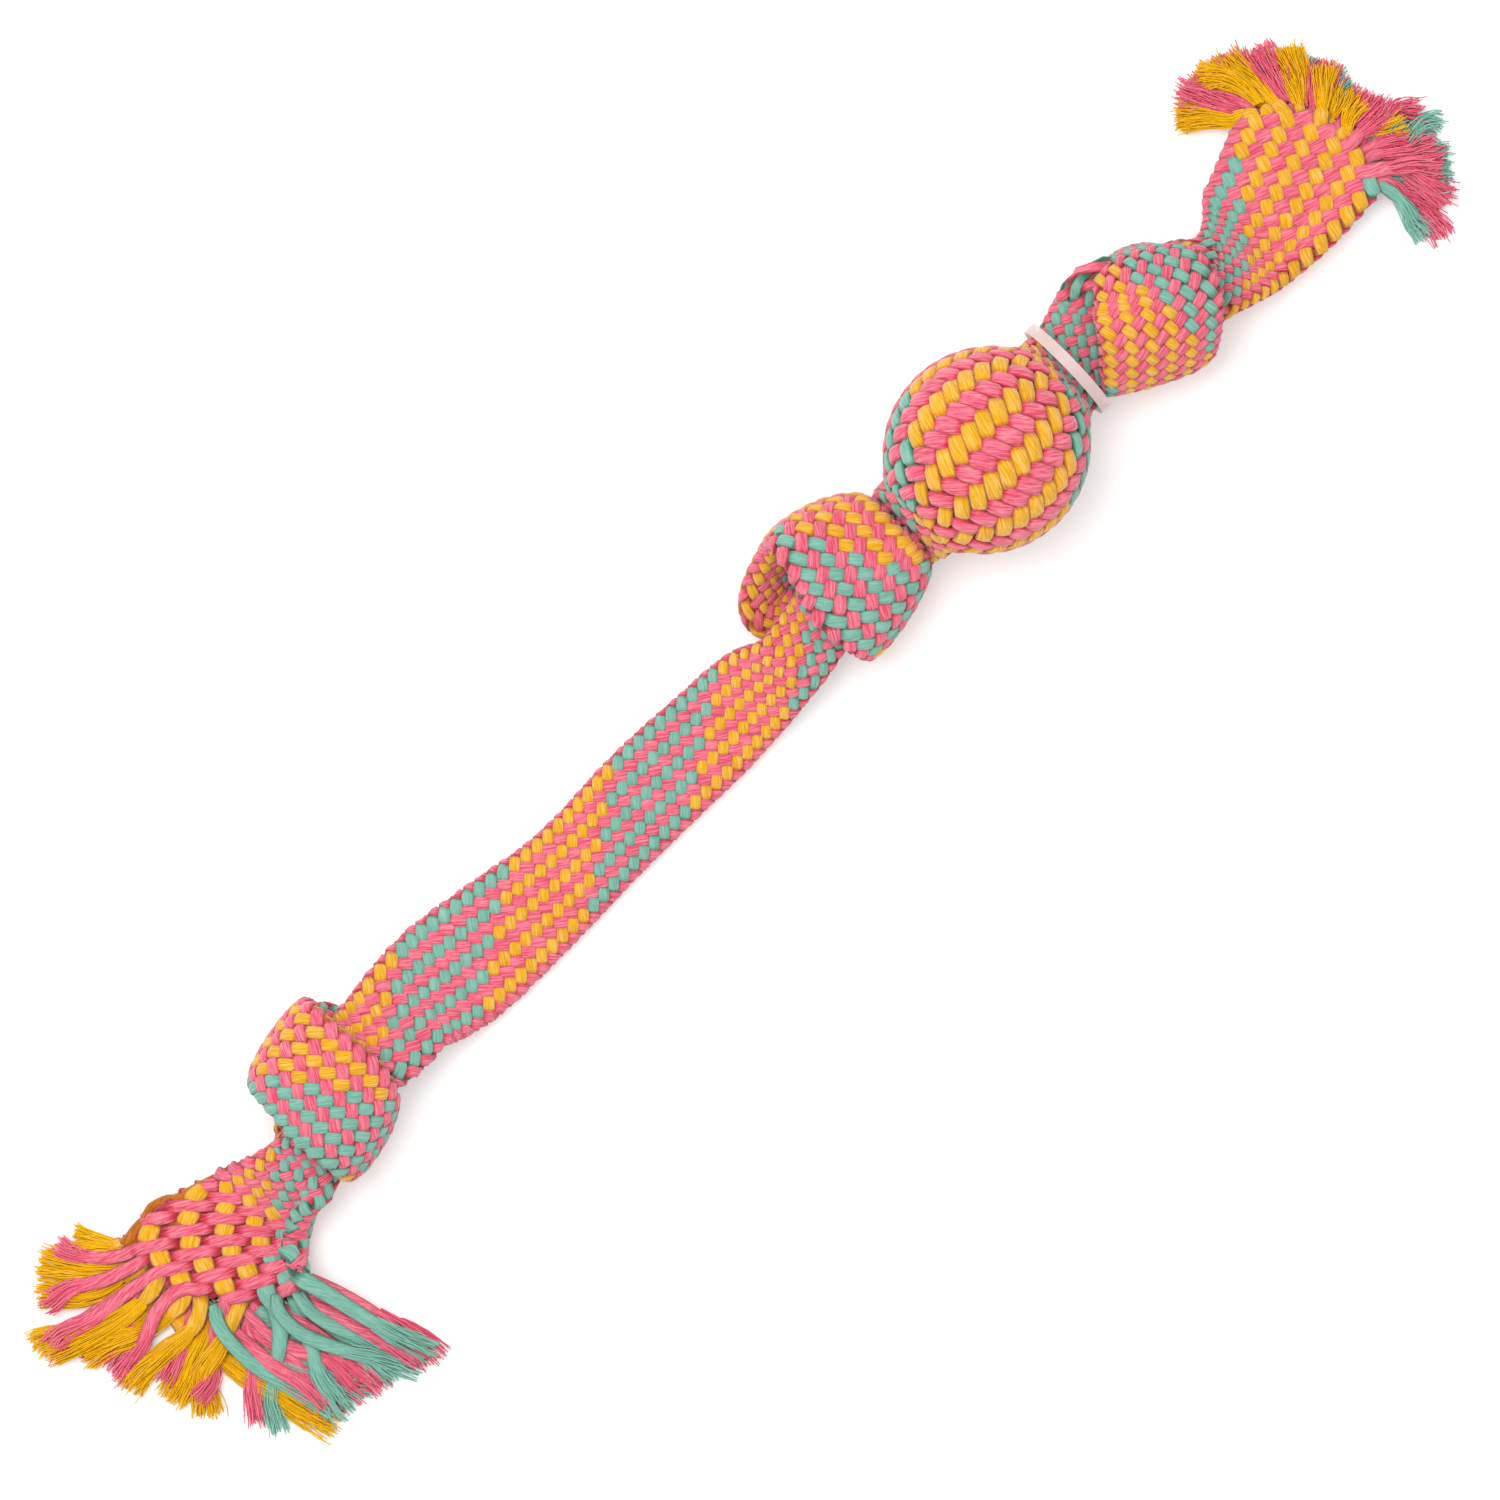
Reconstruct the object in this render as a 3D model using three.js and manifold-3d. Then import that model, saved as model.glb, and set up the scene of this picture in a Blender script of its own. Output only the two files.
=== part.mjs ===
// Rope dog toy: a flattened tubular braid with three overhand knots, a covered ball and two frayed ends.
// Millimetres, +Z up, +X along the toy. The origin is on the floor under the middle of the flat stretch.

import * as THREE from 'three';
import { mergeVertices } from 'three/addons/utils/BufferGeometryUtils.js';
import Module from 'manifold-3d';

const wasm = await Module();
wasm.setup();

// Running gap between neighbours
const FIT = 0.3;

// Flattened braid, and its mouths where it goes into a knot
const TAPE_THICKNESS = 9.5;
const REST_FLAT = 0.5;
const FLAT_LENGTH = 175;
const FLAT_SECTIONS = 5;
const MOUTH_THICKNESS = 10.4;
const MOUTH_HEIGHT = 17;
const MOUTH_1_WIDTH = 36;
const MOUTH_2_WIDTH = 25;
const MOUTH_1_SIDE = 4.5;
const MOUTH_2_SIDE = -1;

// Knots: bend line to bend line, then the core, the back and the wrap over the front
const KNOT_LENGTH = 60;
const CORE_WIDTH = 16;
const CORE_THICKNESS = 9.4;
const CORE_GAP = 2.2;
const BACK_WIDTH = 16.5;
const BACK_THICKNESS = 11.2;
const BACK_GAP = 1.8;
const SIDE_THICKNESS = 10;
const WRAP_WIDTH = 46;
const WRAP_THICKNESS = 8.6;
const WRAP_GAP = 2.4;
const WRAP_CURL = 20;
const KNOT_LEAD = 4;

// How each knot was pulled tight. Hand is 1 or -1; roll turns the wrap about the knot's axis; shift and offset
// move the axis ahead and to the left. The rest has a value for each half of the knot: the reach of the side
// turn from the axis, how far that turn lies ahead of the middle, its width, and the spread of the back turn.
const KNOT_1 = {
  hand: 1, roll: 15, shift: -0.4, offset: 4.7,
  reach: [24.1, 19], slant: [8.7, 12.8], sideWidth: [39, 24], spread: [0.9, 1.05],
};
const KNOT_2 = {
  hand: -1, roll: -20, shift: 1, offset: 2.8,
  reach: [19, 30], slant: [10, 8], sideWidth: [22, 25.5], spread: [0.9, 0.95],
};
const KNOT_3 = {
  hand: 1, roll: -7, shift: -1.5, offset: 3,
  reach: [19, 19.1], slant: [8, 8], sideWidth: [22, 23], spread: [0.85, 0.9],
};

// Ball and the necks beside it
const BALL_CORE_DIAMETER = 60;
const BALL_WALL = 3.7;
const BALL_SIDE = 5;
const NECK_WIDTH = 31;
const NECK_THICKNESS = 13;
const NECK_LENGTH = 1.75;
const NECK_HEIGHT = 20.5;
const NECK_1_SIDE = 5;
const NECK_2_SIDE = 6.5;
const NECK_BORE = 6;

// Tails, flares and loose strands
const TAIL_MOUTH_WIDTH = 28;
const TAIL_MOUTH_THICKNESS = 11;
const LOWER_MOUTH_SIDE = -9.5;
const UPPER_MOUTH_SIDE = -6;
const LOWER_TAIL_LENGTH = 18.5;
const UPPER_TAIL_LENGTH = 21;
const LOWER_FLARE_LENGTH = 19.75;
const LOWER_FLARE_WIDTH = 74;
const LOWER_FLARE_BULGE = 14;
const UPPER_FLARE_LENGTH = 26;
const UPPER_FLARE_WIDTH = 56;
const UPPER_FLARE_BULGE = 10;
const STRAND_THICKNESS = 8.4;
const STRAND_TIP_WIDTH = 5.2;
const STRAND_TIP_THICKNESS = 4.6;

// Clear band round the neck between the ball and the third knot
const BAND_WIDTH = 4;
const BAND_THICKNESS = 0.8;
const BAND_PLACE = 3.4;

// Colours of the dyed cotton, of the ball's core and of the band
const PINK = '#ee6a8c';
const YELLOW = '#f2ad33';
const TEAL = '#6db6a3';
const CORE_GREY = '#c9c4ba';
const BAND_CLEAR = '#f3dcd9';

// Facets and the shape of a section: 2 is an ellipse and more is squarer
const TAPE_SQUARENESS = 2.6;
const KNOT_SQUARENESS = 2.2;
const TAPE_SIDES = 16;
const KNOT_SIDES = 14;
const KNOT_STEPS = 3;
const STRAND_SIDES = 6;
const STRAND_STEPS = 6;
const BALL_SIDES = 24;
const BEND_SIDES = 24;
const BAND_SIDES = 32;

// How far a bend's hollow runs past the edges of the braid
const BEND_MARGIN = 1.5;

const toy = new THREE.Group();
const UP = new THREE.Vector3(0, 0, 1);
const rad = THREE.MathUtils.degToRad;
const deg = THREE.MathUtils.radToDeg;

// Solids and meshes

function solidOf(geometry) {
  geometry.deleteAttribute('normal');
  geometry.deleteAttribute('uv');
  const merged = mergeVertices(geometry, 1e-4);
  const vertProperties = new Float32Array(merged.attributes.position.array);
  const triVerts = new Uint32Array(merged.index.array);
  return new wasm.Manifold(new wasm.Mesh({ numProp: 3, vertProperties, triVerts }));
}

function geometryOf(solid) {
  const mesh = solid.getMesh();
  const geometry = new THREE.BufferGeometry();
  geometry.setAttribute('position', new THREE.BufferAttribute(new Float32Array(mesh.vertProperties), 3));
  geometry.setIndex(new THREE.BufferAttribute(new Uint32Array(mesh.triVerts), 1));
  geometry.computeVertexNormals();
  return geometry;
}

function addPiece(name, geometry, color, roughness = 0.95) {
  const mesh = new THREE.Mesh(geometry, new THREE.MeshStandardMaterial({ color, roughness, metalness: 0 }));
  mesh.name = name;
  toy.add(mesh);
}

// Sections of the braid

// Uniform Catmull-Rom value of every column of a list of rows, at a row number with a fraction
function splineRow(rows, at) {
  const i = Math.min(Math.max(Math.floor(at), 0), rows.length - 2);
  const f = at - i;
  const pick = (k) => rows[Math.min(Math.max(k, 0), rows.length - 1)];
  const [a, b, c, d] = [pick(i - 1), pick(i), pick(i + 1), pick(i + 2)];
  return b.map((value, k) => {
    const slope0 = (c[k] - a[k]) / 2;
    const slope1 = (d[k] - b[k]) / 2;
    const rise = c[k] - b[k];
    return value + f * (slope0 + f * (3 * rise - 2 * slope0 - slope1 + f * (slope0 + slope1 - 2 * rise)));
  });
}

// A section has a middle, side and upper directions, half width, half thickness and the angle by which
// its two edges curl down
function section(middle, side, up, halfWidth, halfThick, curl = 0) {
  return { middle, side, up, halfWidth, halfThick, curl };
}

// Section that stands square to a heading in the floor plan
function planSection(x, y, z, heading, width, thickness) {
  const side = new THREE.Vector3(-Math.sin(rad(heading)), Math.cos(rad(heading)), 0);
  return section(new THREE.Vector3(x, y, z), side, UP, width / 2, thickness / 2);
}

function headingVector(heading) {
  return new THREE.Vector3(Math.cos(rad(heading)), Math.sin(rad(heading)), 0);
}

function headingBetween(from, to) {
  return deg(Math.atan2(to.y - from.y, to.x - from.x));
}

// Point of a section at a share of its half width and half thickness
function sectionPoint(s, across, above) {
  const v = above * s.halfThick;
  const point = s.middle.clone();
  if (Math.abs(s.curl) < 1e-6) {
    return point.addScaledVector(s.side, across * s.halfWidth).addScaledVector(s.up, v);
  }
  const bendRadius = s.halfWidth / s.curl;
  const angle = s.curl * across;
  point.addScaledVector(s.up, Math.cos(angle) * (bendRadius + v) - bendRadius);
  return point.addScaledVector(s.side, Math.sin(angle) * (bendRadius + v));
}

// Outline of a section as a ring of points, kept on or above the floor
function sectionRing(s, sides, squareness) {
  const shaped = (value) => Math.sign(value) * Math.abs(value) ** (2 / squareness);
  const ring = [];
  for (let j = 0; j < sides; j++) {
    const angle = (2 * Math.PI * j) / sides;
    const point = sectionPoint(s, shaped(Math.cos(angle)), shaped(Math.sin(angle)));
    point.z = Math.max(point.z, 0);
    ring.push(point);
  }
  return ring;
}

// Closed skin over a list of sections, with a fan over each end
function loft(sections, sides, squareness) {
  const points = sections.flatMap((s) => sectionRing(s, sides, squareness));
  const faces = [];
  const last = (sections.length - 1) * sides;
  for (let start = 0; start < last; start += sides) {
    for (let j = 0; j < sides; j++) {
      const k = (j + 1) % sides;
      const [a, b, c, d] = [start + j, start + k, start + sides + k, start + sides + j];
      faces.push(a, b, c, a, c, d);
    }
  }
  for (let j = 1; j + 1 < sides; j++) {
    faces.push(0, j + 1, j);
    faces.push(last, last + j, last + j + 1);
  }
  const geometry = new THREE.BufferGeometry();
  const positions = new Float32Array(points.flatMap((p) => [p.x, p.y, p.z]));
  geometry.setAttribute('position', new THREE.BufferAttribute(positions, 3));
  geometry.setIndex(faces);
  return geometry;
}

// Bends

// Sections that round off an end about its bend line
function roundedEnd(end, outward) {
  return [25, 50, 70, 84].map((angle) => {
    const middle = end.middle.clone().addScaledVector(outward, end.halfThick * Math.sin(rad(angle)));
    return section(middle, end.side, end.up, end.halfWidth, end.halfThick * Math.cos(rad(angle)));
  });
}

// Cylinder about a bend line, which hollows the neighbour of a rounded end
function bendCutter(end) {
  const radius = (end.halfThick + FIT) / Math.cos(Math.PI / BEND_SIDES);
  const length = 2 * (end.halfWidth + BEND_MARGIN);
  const cutter = new THREE.CylinderGeometry(radius, radius, length, BEND_SIDES);
  cutter.applyQuaternion(new THREE.Quaternion().setFromUnitVectors(new THREE.Vector3(0, 1, 0), end.side));
  cutter.translate(...end.middle);
  return solidOf(cutter);
}

// Places along the toy. The braid lies on the floor with its underside pressed flat.
const tapeHeight = TAPE_THICKNESS / 2 - REST_FLAT;
const flatEnd = FLAT_LENGTH / 2;
const ballRadius = BALL_CORE_DIAMETER / 2 + FIT + BALL_WALL;
const ballReach = ballRadius + NECK_LENGTH;
const lowerMouthX = -flatEnd - KNOT_LENGTH;
const ballX = flatEnd + KNOT_LENGTH + ballReach;
const upperMouthX = ballX + ballReach + KNOT_LENGTH;
const knot1Heading = deg(Math.atan2(MOUTH_1_SIDE - LOWER_MOUTH_SIDE, KNOT_LENGTH));
const knot2Heading = deg(Math.atan2(NECK_1_SIDE - MOUTH_2_SIDE, KNOT_LENGTH));
const knot3Heading = deg(Math.atan2(UPPER_MOUTH_SIDE - NECK_2_SIDE, KNOT_LENGTH));

const lowerMouth = planSection(lowerMouthX, LOWER_MOUTH_SIDE, MOUTH_HEIGHT, knot1Heading,
  TAIL_MOUTH_WIDTH, TAIL_MOUTH_THICKNESS);
const upperMouth = planSection(upperMouthX, UPPER_MOUTH_SIDE, MOUTH_HEIGHT, knot3Heading,
  TAIL_MOUTH_WIDTH, TAIL_MOUTH_THICKNESS);
const neck1 = planSection(ballX - ballReach, NECK_1_SIDE, NECK_HEIGHT, knot2Heading,
  NECK_WIDTH, NECK_THICKNESS);
const neck2 = planSection(ballX + ballReach, NECK_2_SIDE, NECK_HEIGHT, knot3Heading,
  NECK_WIDTH, NECK_THICKNESS);

// Height of the braid's middle at a share of its climb from the floor to a knot's mouth
function climb(share) {
  return THREE.MathUtils.lerp(tapeHeight, MOUTH_HEIGHT, share);
}

// Flat stretch: share of its half length, sideways place, height of the middle, heading, width, thickness
const FLAT_ROUTE = [
  [-1, MOUTH_1_SIDE, MOUTH_HEIGHT, knot1Heading, MOUTH_1_WIDTH, MOUTH_THICKNESS],
  [-0.88, 4, climb(0.5), 0, 40, TAPE_THICKNESS],
  [-0.75, 2.8, climb(0.08), 0, 43, TAPE_THICKNESS],
  [-0.6, 1.7, tapeHeight, 0, 42, TAPE_THICKNESS],
  [-0.4, 0.6, tapeHeight, 0, 39, TAPE_THICKNESS],
  [-0.2, -0.4, tapeHeight, 0, 35.6, TAPE_THICKNESS],
  [0, 0, tapeHeight, 0, 34.6, TAPE_THICKNESS],
  [0.2, 0.8, tapeHeight, 0, 35.6, TAPE_THICKNESS],
  [0.4, 0.9, tapeHeight, 0, 35.6, TAPE_THICKNESS],
  [0.6, 0.5, tapeHeight, 0, 34.8, TAPE_THICKNESS],
  [0.75, 0.7, climb(0.08), 0, 33.6, TAPE_THICKNESS],
  [0.88, 0.3, climb(0.5), 0, 31, TAPE_THICKNESS],
  [1, MOUTH_2_SIDE, MOUTH_HEIGHT, knot2Heading, MOUTH_2_WIDTH, MOUTH_THICKNESS],
];

function flatSection(share) {
  let row = 0;
  while (row < FLAT_ROUTE.length - 2 && FLAT_ROUTE[row + 1][0] <= share) {
    row += 1;
  }
  const span = FLAT_ROUTE[row + 1][0] - FLAT_ROUTE[row][0];
  const at = splineRow(FLAT_ROUTE, row + (share - FLAT_ROUTE[row][0]) / span);
  return planSection(share * flatEnd, ...at.slice(1));
}

// Stretches of the flat braid: each is round where it bends towards the middle stretch or goes into a knot,
// and hollow where its outer neighbour bends in it
const FLAT_RINGS = [0.14, 0.3, 0.46, 0.64, 0.84];
const flatCuts = [];
for (let i = 0; i <= FLAT_SECTIONS; i++) {
  flatCuts.push(flatSection(-1 + (2 * i) / FLAT_SECTIONS));
}

function addFlat(index) {
  const middle = (FLAT_SECTIONS - 1) / 2;
  const [start, finish] = [flatCuts[index], flatCuts[index + 1]];
  const inner = FLAT_RINGS.map((share) => flatSection(-1 + (2 * (index + share)) / FLAT_SECTIONS));
  const sections = [start, ...inner, finish];
  const roundStart = index > middle || index === 0;
  const roundFinish = index < middle || index === FLAT_SECTIONS - 1;
  if (roundStart) {
    const outward = headingVector(index === 0 ? knot1Heading + 180 : 180);
    sections.unshift(...roundedEnd(start, outward).reverse());
  }
  if (roundFinish) {
    const outward = headingVector(index === FLAT_SECTIONS - 1 ? knot2Heading : 0);
    sections.push(...roundedEnd(finish, outward));
  }
  let solid = solidOf(loft(sections, TAPE_SIDES, TAPE_SQUARENESS));
  if (!roundStart) {
    solid = solid.subtract(bendCutter(start));
  }
  if (!roundFinish) {
    solid = solid.subtract(bendCutter(finish));
  }
  addPiece(`flat_${index + 1}`, geometryOf(solid), index % 2 ? TEAL : YELLOW);
}

// Overhand knot: one braid that spirals twice about the knot's axis. It enters at the left, goes through
// the core, turns at the back of the right end, comes over the front as a wide wrap, turns at the back of
// the left end and leaves through the core. The second half is the first, turned half round the upright.
const coreRadius = (CORE_THICKNESS + CORE_GAP) / 2;
const wrapRadius = coreRadius + CORE_THICKNESS / 2 + WRAP_GAP + WRAP_THICKNESS / 2;
const backRadius = coreRadius + BACK_THICKNESS / 2 + BACK_GAP;
const knotHeight = backRadius + BACK_THICKNESS / 2 + FIT;

// Half of a knot, from its mouth to the middle of the wrap: turn about the axis in degrees, place along the
// axis, radius, width, thickness and edge curl
function halfKnot(reach, slant, sideWidth, spread) {
  return [
    [-345, -19, 0.38 * coreRadius, CORE_WIDTH + 1, CORE_THICKNESS, 0],
    [-330, -13, 0.91 * coreRadius, CORE_WIDTH, CORE_THICKNESS, 0],
    [-302, -6.5, coreRadius, CORE_WIDTH, CORE_THICKNESS, 0],
    [-270, 0, coreRadius, CORE_WIDTH, CORE_THICKNESS, 0],
    [-236, 7, 1.1 * coreRadius, CORE_WIDTH - 0.5, CORE_THICKNESS, 0],
    [-207, 13 * spread, 1.6 * coreRadius, CORE_WIDTH - 1, CORE_THICKNESS + 0.5, 0],
    [-177, 17 * spread, backRadius, BACK_WIDTH, BACK_THICKNESS, 0],
    [-146, 17.5 * spread, 1.24 * backRadius, BACK_WIDTH + 3.5, BACK_THICKNESS, 0],
    [-115, slant + 3, reach - 2.5, sideWidth - 6, SIDE_THICKNESS, WRAP_CURL / 4],
    [-90, slant, reach, sideWidth, SIDE_THICKNESS, WRAP_CURL / 2],
    [-65, 0.76 * slant, reach, WRAP_WIDTH - 5, WRAP_THICKNESS + 0.6, 0.75 * WRAP_CURL],
    [-35, 0.4 * slant, wrapRadius + 1.9, WRAP_WIDTH - 2, WRAP_THICKNESS, WRAP_CURL],
    [0, 0, wrapRadius, WRAP_WIDTH, WRAP_THICKNESS, WRAP_CURL],
  ];
}

// Shares by which the first two rows of a half follow a mouth that lies off the axis
const MOUTH_PULL = [0.55, 0.15];
// Rows over which the sections turn from the mouth's heading to the braid's own
const MOUTH_ROWS = 2.5;
// Turns beyond which the roll dies away in the core
const FULL_ROLL = 180;
const NO_ROLL = 234;

// Sections of a knot between two mouths
function knotSections(entry, exit, knot) {
  const heading = headingBetween(entry.middle, exit.middle);
  const ahead = headingVector(heading);
  const left = headingVector(heading + 90);
  const centre = entry.middle.clone().lerp(exit.middle, 0.5);
  centre.addScaledVector(ahead, knot.shift).addScaledVector(left, knot.offset);
  centre.z = knotHeight;
  const local = (mouth) => {
    const away = mouth.middle.clone().sub(centre);
    return [away.dot(ahead), away.dot(left), away.z];
  };
  const ends = [local(entry), local(exit)];
  const half = (k) => halfKnot(knot.reach[k], knot.slant[k], knot.sideWidth[k], knot.spread[k]);
  const second = half(1).slice(0, -1).reverse().map(([turn, along, ...rest]) => [-turn, -along, ...rest]);
  const turns = half(0).concat(second);
  const rows = turns.map(([turn, along, radius, width, thick, curl], k) => {
    const rolled = THREE.MathUtils.clamp((NO_ROLL - Math.abs(turn)) / (NO_ROLL - FULL_ROLL), 0, 1);
    const angle = rad(turn + knot.roll * rolled);
    const side = -Math.sin(angle) * knot.hand;
    const rise = Math.cos(angle);
    const pull = MOUTH_PULL[Math.min(k, turns.length - 1 - k)] ?? 0;
    const end = ends[k < turns.length / 2 ? 0 : 1];
    return [along, radius * side + pull * end[1], radius * rise + pull * end[2],
      side, rise, width / 2, thick / 2, rad(curl)];
  });
  const mouthRow = (end, inward, width, thick) => [end[0] + inward, end[1], end[2], 0, 1, width, thick, 0];
  const leadWidth = (mouth) => (2 * mouth.halfWidth + CORE_WIDTH / 2) / 3;
  rows.unshift(mouthRow(ends[0], KNOT_LEAD, leadWidth(entry), entry.halfThick));
  rows.unshift(mouthRow(ends[0], 0, entry.halfWidth, entry.halfThick));
  rows.push(mouthRow(ends[1], -KNOT_LEAD, leadWidth(exit), exit.halfThick));
  rows.push(mouthRow(ends[1], 0, exit.halfWidth, exit.halfThick));
  const toToy = (x, y, z) => ahead.clone().multiplyScalar(x).addScaledVector(left, y).addScaledVector(UP, z);
  const sections = [];
  const last = rows.length - 1;
  for (let i = 0; i <= last * KNOT_STEPS; i++) {
    const at = i / KNOT_STEPS;
    const row = splineRow(rows, at);
    const before = splineRow(rows, Math.max(at - 0.02, 0));
    const after = splineRow(rows, Math.min(at + 0.02, last));
    const along = toToy(after[0] - before[0], after[1] - before[1], after[2] - before[2]).normalize();
    const own = Math.min(at, last - at, MOUTH_ROWS) / MOUTH_ROWS;
    along.lerp(ahead, 1 - own).normalize();
    const up = toToy(0, row[3], row[4]);
    up.addScaledVector(along, -up.dot(along)).normalize();
    const side = new THREE.Vector3().crossVectors(up, along);
    sections.push(section(toToy(row[0], row[1], row[2]).add(centre), side, up, row[5], row[6], row[7]));
  }
  return sections;
}

// Least gap between the turns of a knot, between ring points that lie far apart along the braid
function leastGap(sections) {
  const apart = 24;
  const rings = sections.map((s) => sectionRing(s, KNOT_SIDES, KNOT_SQUARENESS));
  const along = [0];
  for (let i = 1; i < sections.length; i++) {
    along.push(along[i - 1] + sections[i].middle.distanceTo(sections[i - 1].middle));
  }
  let least = Infinity;
  for (let i = 0; i < rings.length; i++) {
    for (let k = i + 1; k < rings.length; k++) {
      if (along[k] - along[i] > apart) {
        rings[i].forEach((p) => rings[k].forEach((q) => {
          least = Math.min(least, p.distanceTo(q));
        }));
      }
    }
  }
  return least;
}

function addKnot(name, entry, exit, knot) {
  const sections = knotSections(entry, exit, knot);
  console.log(`${name}: least gap to itself ${leastGap(sections).toFixed(2)} mm`);
  const solid = solidOf(loft(sections, KNOT_SIDES, KNOT_SQUARENESS));
  const geometry = geometryOf(solid.subtract(bendCutter(entry)).subtract(bendCutter(exit)));
  addPiece(name, geometry, PINK);
  return geometry;
}

// Points where a piece's edges meet or run inside a slice square to X
function slicePoints(geometry, low, high) {
  const position = geometry.attributes.position;
  const corner = (k) => new THREE.Vector3().fromBufferAttribute(position, geometry.index.getX(k));
  const points = [];
  for (let k = 0; k < geometry.index.count; k++) {
    const a = corner(k);
    const b = corner(k % 3 === 2 ? k - 2 : k + 1);
    const clamped = [a, b].map((p) => THREE.MathUtils.clamp(p.x, low, high));
    if (Math.max(a.x, b.x) >= low && Math.min(a.x, b.x) <= high) {
      const shares = clamped.map((x) => (a.x === b.x ? 0 : (x - a.x) / (b.x - a.x)));
      shares.forEach((share) => points.push(a.clone().lerp(b, share)));
    }
  }
  return points;
}

// Band stretched round a knot and the bend at its mouth, straight between the places where it rests
function addBand(name, knot, mouth) {
  const low = mouth.middle.x + BAND_PLACE - BAND_WIDTH / 2;
  const held = [knot, geometryOf(bendCutter(mouth))];
  const points = held.flatMap((geometry) => slicePoints(geometry, low - FIT, low + BAND_WIDTH + FIT));
  const step = (2 * Math.PI) / BAND_SIDES;
  const outline = (clearance) => {
    const reaches = [];
    for (let k = 0; k <= BAND_SIDES; k++) {
      const reach = (p) => p.y * Math.cos(k * step) + p.z * Math.sin(k * step);
      reaches.push(Math.max(...points.map(reach)) + clearance);
    }
    return reaches.slice(0, -1).map((reach, k) => {
      const slip = (reaches[k + 1] - reach * Math.cos(step)) / Math.sin(step);
      const [cos, sin] = [Math.cos(k * step), Math.sin(k * step)];
      return new THREE.Vector2(reach * cos - slip * sin, reach * sin + slip * cos);
    });
  };
  const shape = new THREE.Shape(outline(FIT + BAND_THICKNESS));
  shape.holes.push(new THREE.Path(outline(FIT)));
  const band = new THREE.ExtrudeGeometry(shape, { depth: BAND_WIDTH, bevelEnabled: false });
  const [alongX, alongY] = [new THREE.Vector3(1, 0, 0), new THREE.Vector3(0, 1, 0)];
  band.applyMatrix4(new THREE.Matrix4().makeBasis(alongY, UP, alongX));
  band.translate(low, 0, 0);
  addPiece(name, geometryOf(solidOf(band)), BAND_CLEAR, 0.25);
}

// Ball: the braid opened out over a core, drawn in to a neck at each end
function addBall() {
  const height = ballRadius;
  const sphere = (away) => Math.sqrt(ballRadius ** 2 - away ** 2);
  const shoulder = 0.88 * ballRadius;
  const rows = [];
  for (let i = -6; i <= 6; i++) {
    const away = shoulder * Math.sin((Math.PI / 12) * i);
    rows.push([away, height, 2 * sphere(away)]);
  }
  const sections = rows.map(([away, z, size]) => planSection(ballX + away, BALL_SIDE, z, 0, size, size));
  const throat = (neck, sign) => planSection(ballX + sign * THREE.MathUtils.lerp(shoulder, ballReach, 0.55),
    (neck.middle.y + BALL_SIDE) / 2, (NECK_HEIGHT + height) / 2, 0, 1.08 * NECK_WIDTH, 1.6 * NECK_THICKNESS);
  sections.unshift(neck1, throat(neck1, -1));
  sections.unshift(...roundedEnd(neck1, headingVector(knot2Heading + 180)).reverse());
  sections.push(throat(neck2, 1), neck2, ...roundedEnd(neck2, headingVector(knot3Heading)));
  const cavity = new THREE.SphereGeometry(BALL_CORE_DIAMETER / 2 + FIT, BALL_SIDES, BALL_SIDES / 2);
  cavity.translate(ballX, BALL_SIDE, height);
  const bore = new THREE.CylinderGeometry(NECK_BORE / 2, NECK_BORE / 2, 2 * (ballReach + NECK_WIDTH), 12);
  bore.rotateZ(Math.PI / 2);
  bore.translate(ballX, BALL_SIDE, NECK_HEIGHT);
  const sleeve = solidOf(loft(sections, BALL_SIDES, 2)).subtract(solidOf(cavity)).subtract(solidOf(bore));
  addPiece('ball_sleeve', geometryOf(sleeve), YELLOW);
  const core = new THREE.SphereGeometry(BALL_CORE_DIAMETER / 2, BALL_SIDES, BALL_SIDES / 2);
  core.translate(ballX, BALL_SIDE, height);
  addPiece('ball_core', geometryOf(solidOf(core)), CORE_GREY, 0.6);
}

// Tails: place, height, heading, width and thickness from a knot's mouth to the flare's bend line
const lowerFlareX = lowerMouthX - LOWER_TAIL_LENGTH;
const upperFlareX = upperMouthX + UPPER_TAIL_LENGTH;
const LOWER_TAIL_ROUTE = [
  [lowerMouthX, LOWER_MOUTH_SIDE, MOUTH_HEIGHT, knot1Heading + 180, TAIL_MOUTH_WIDTH, TAIL_MOUTH_THICKNESS],
  [lowerMouthX - 0.35 * LOWER_TAIL_LENGTH, -10.4, climb(0.66), 194, 30, TAPE_THICKNESS + 0.6],
  [lowerMouthX - 0.72 * LOWER_TAIL_LENGTH, -11.4, climb(0.16), 196, 38, TAPE_THICKNESS],
  [lowerFlareX, -12.5, tapeHeight, 198, 43, TAPE_THICKNESS],
];
const UPPER_TAIL_ROUTE = [
  [upperMouthX, UPPER_MOUTH_SIDE, MOUTH_HEIGHT, knot3Heading, TAIL_MOUTH_WIDTH, TAIL_MOUTH_THICKNESS],
  [upperMouthX + 0.35 * UPPER_TAIL_LENGTH, -6.6, climb(0.66), -6, 32, TAPE_THICKNESS + 0.6],
  [upperMouthX + 0.72 * UPPER_TAIL_LENGTH, -6, climb(0.16), 0, 40, TAPE_THICKNESS],
  [upperFlareX, -5.2, tapeHeight, 6, 46, TAPE_THICKNESS],
];
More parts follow.
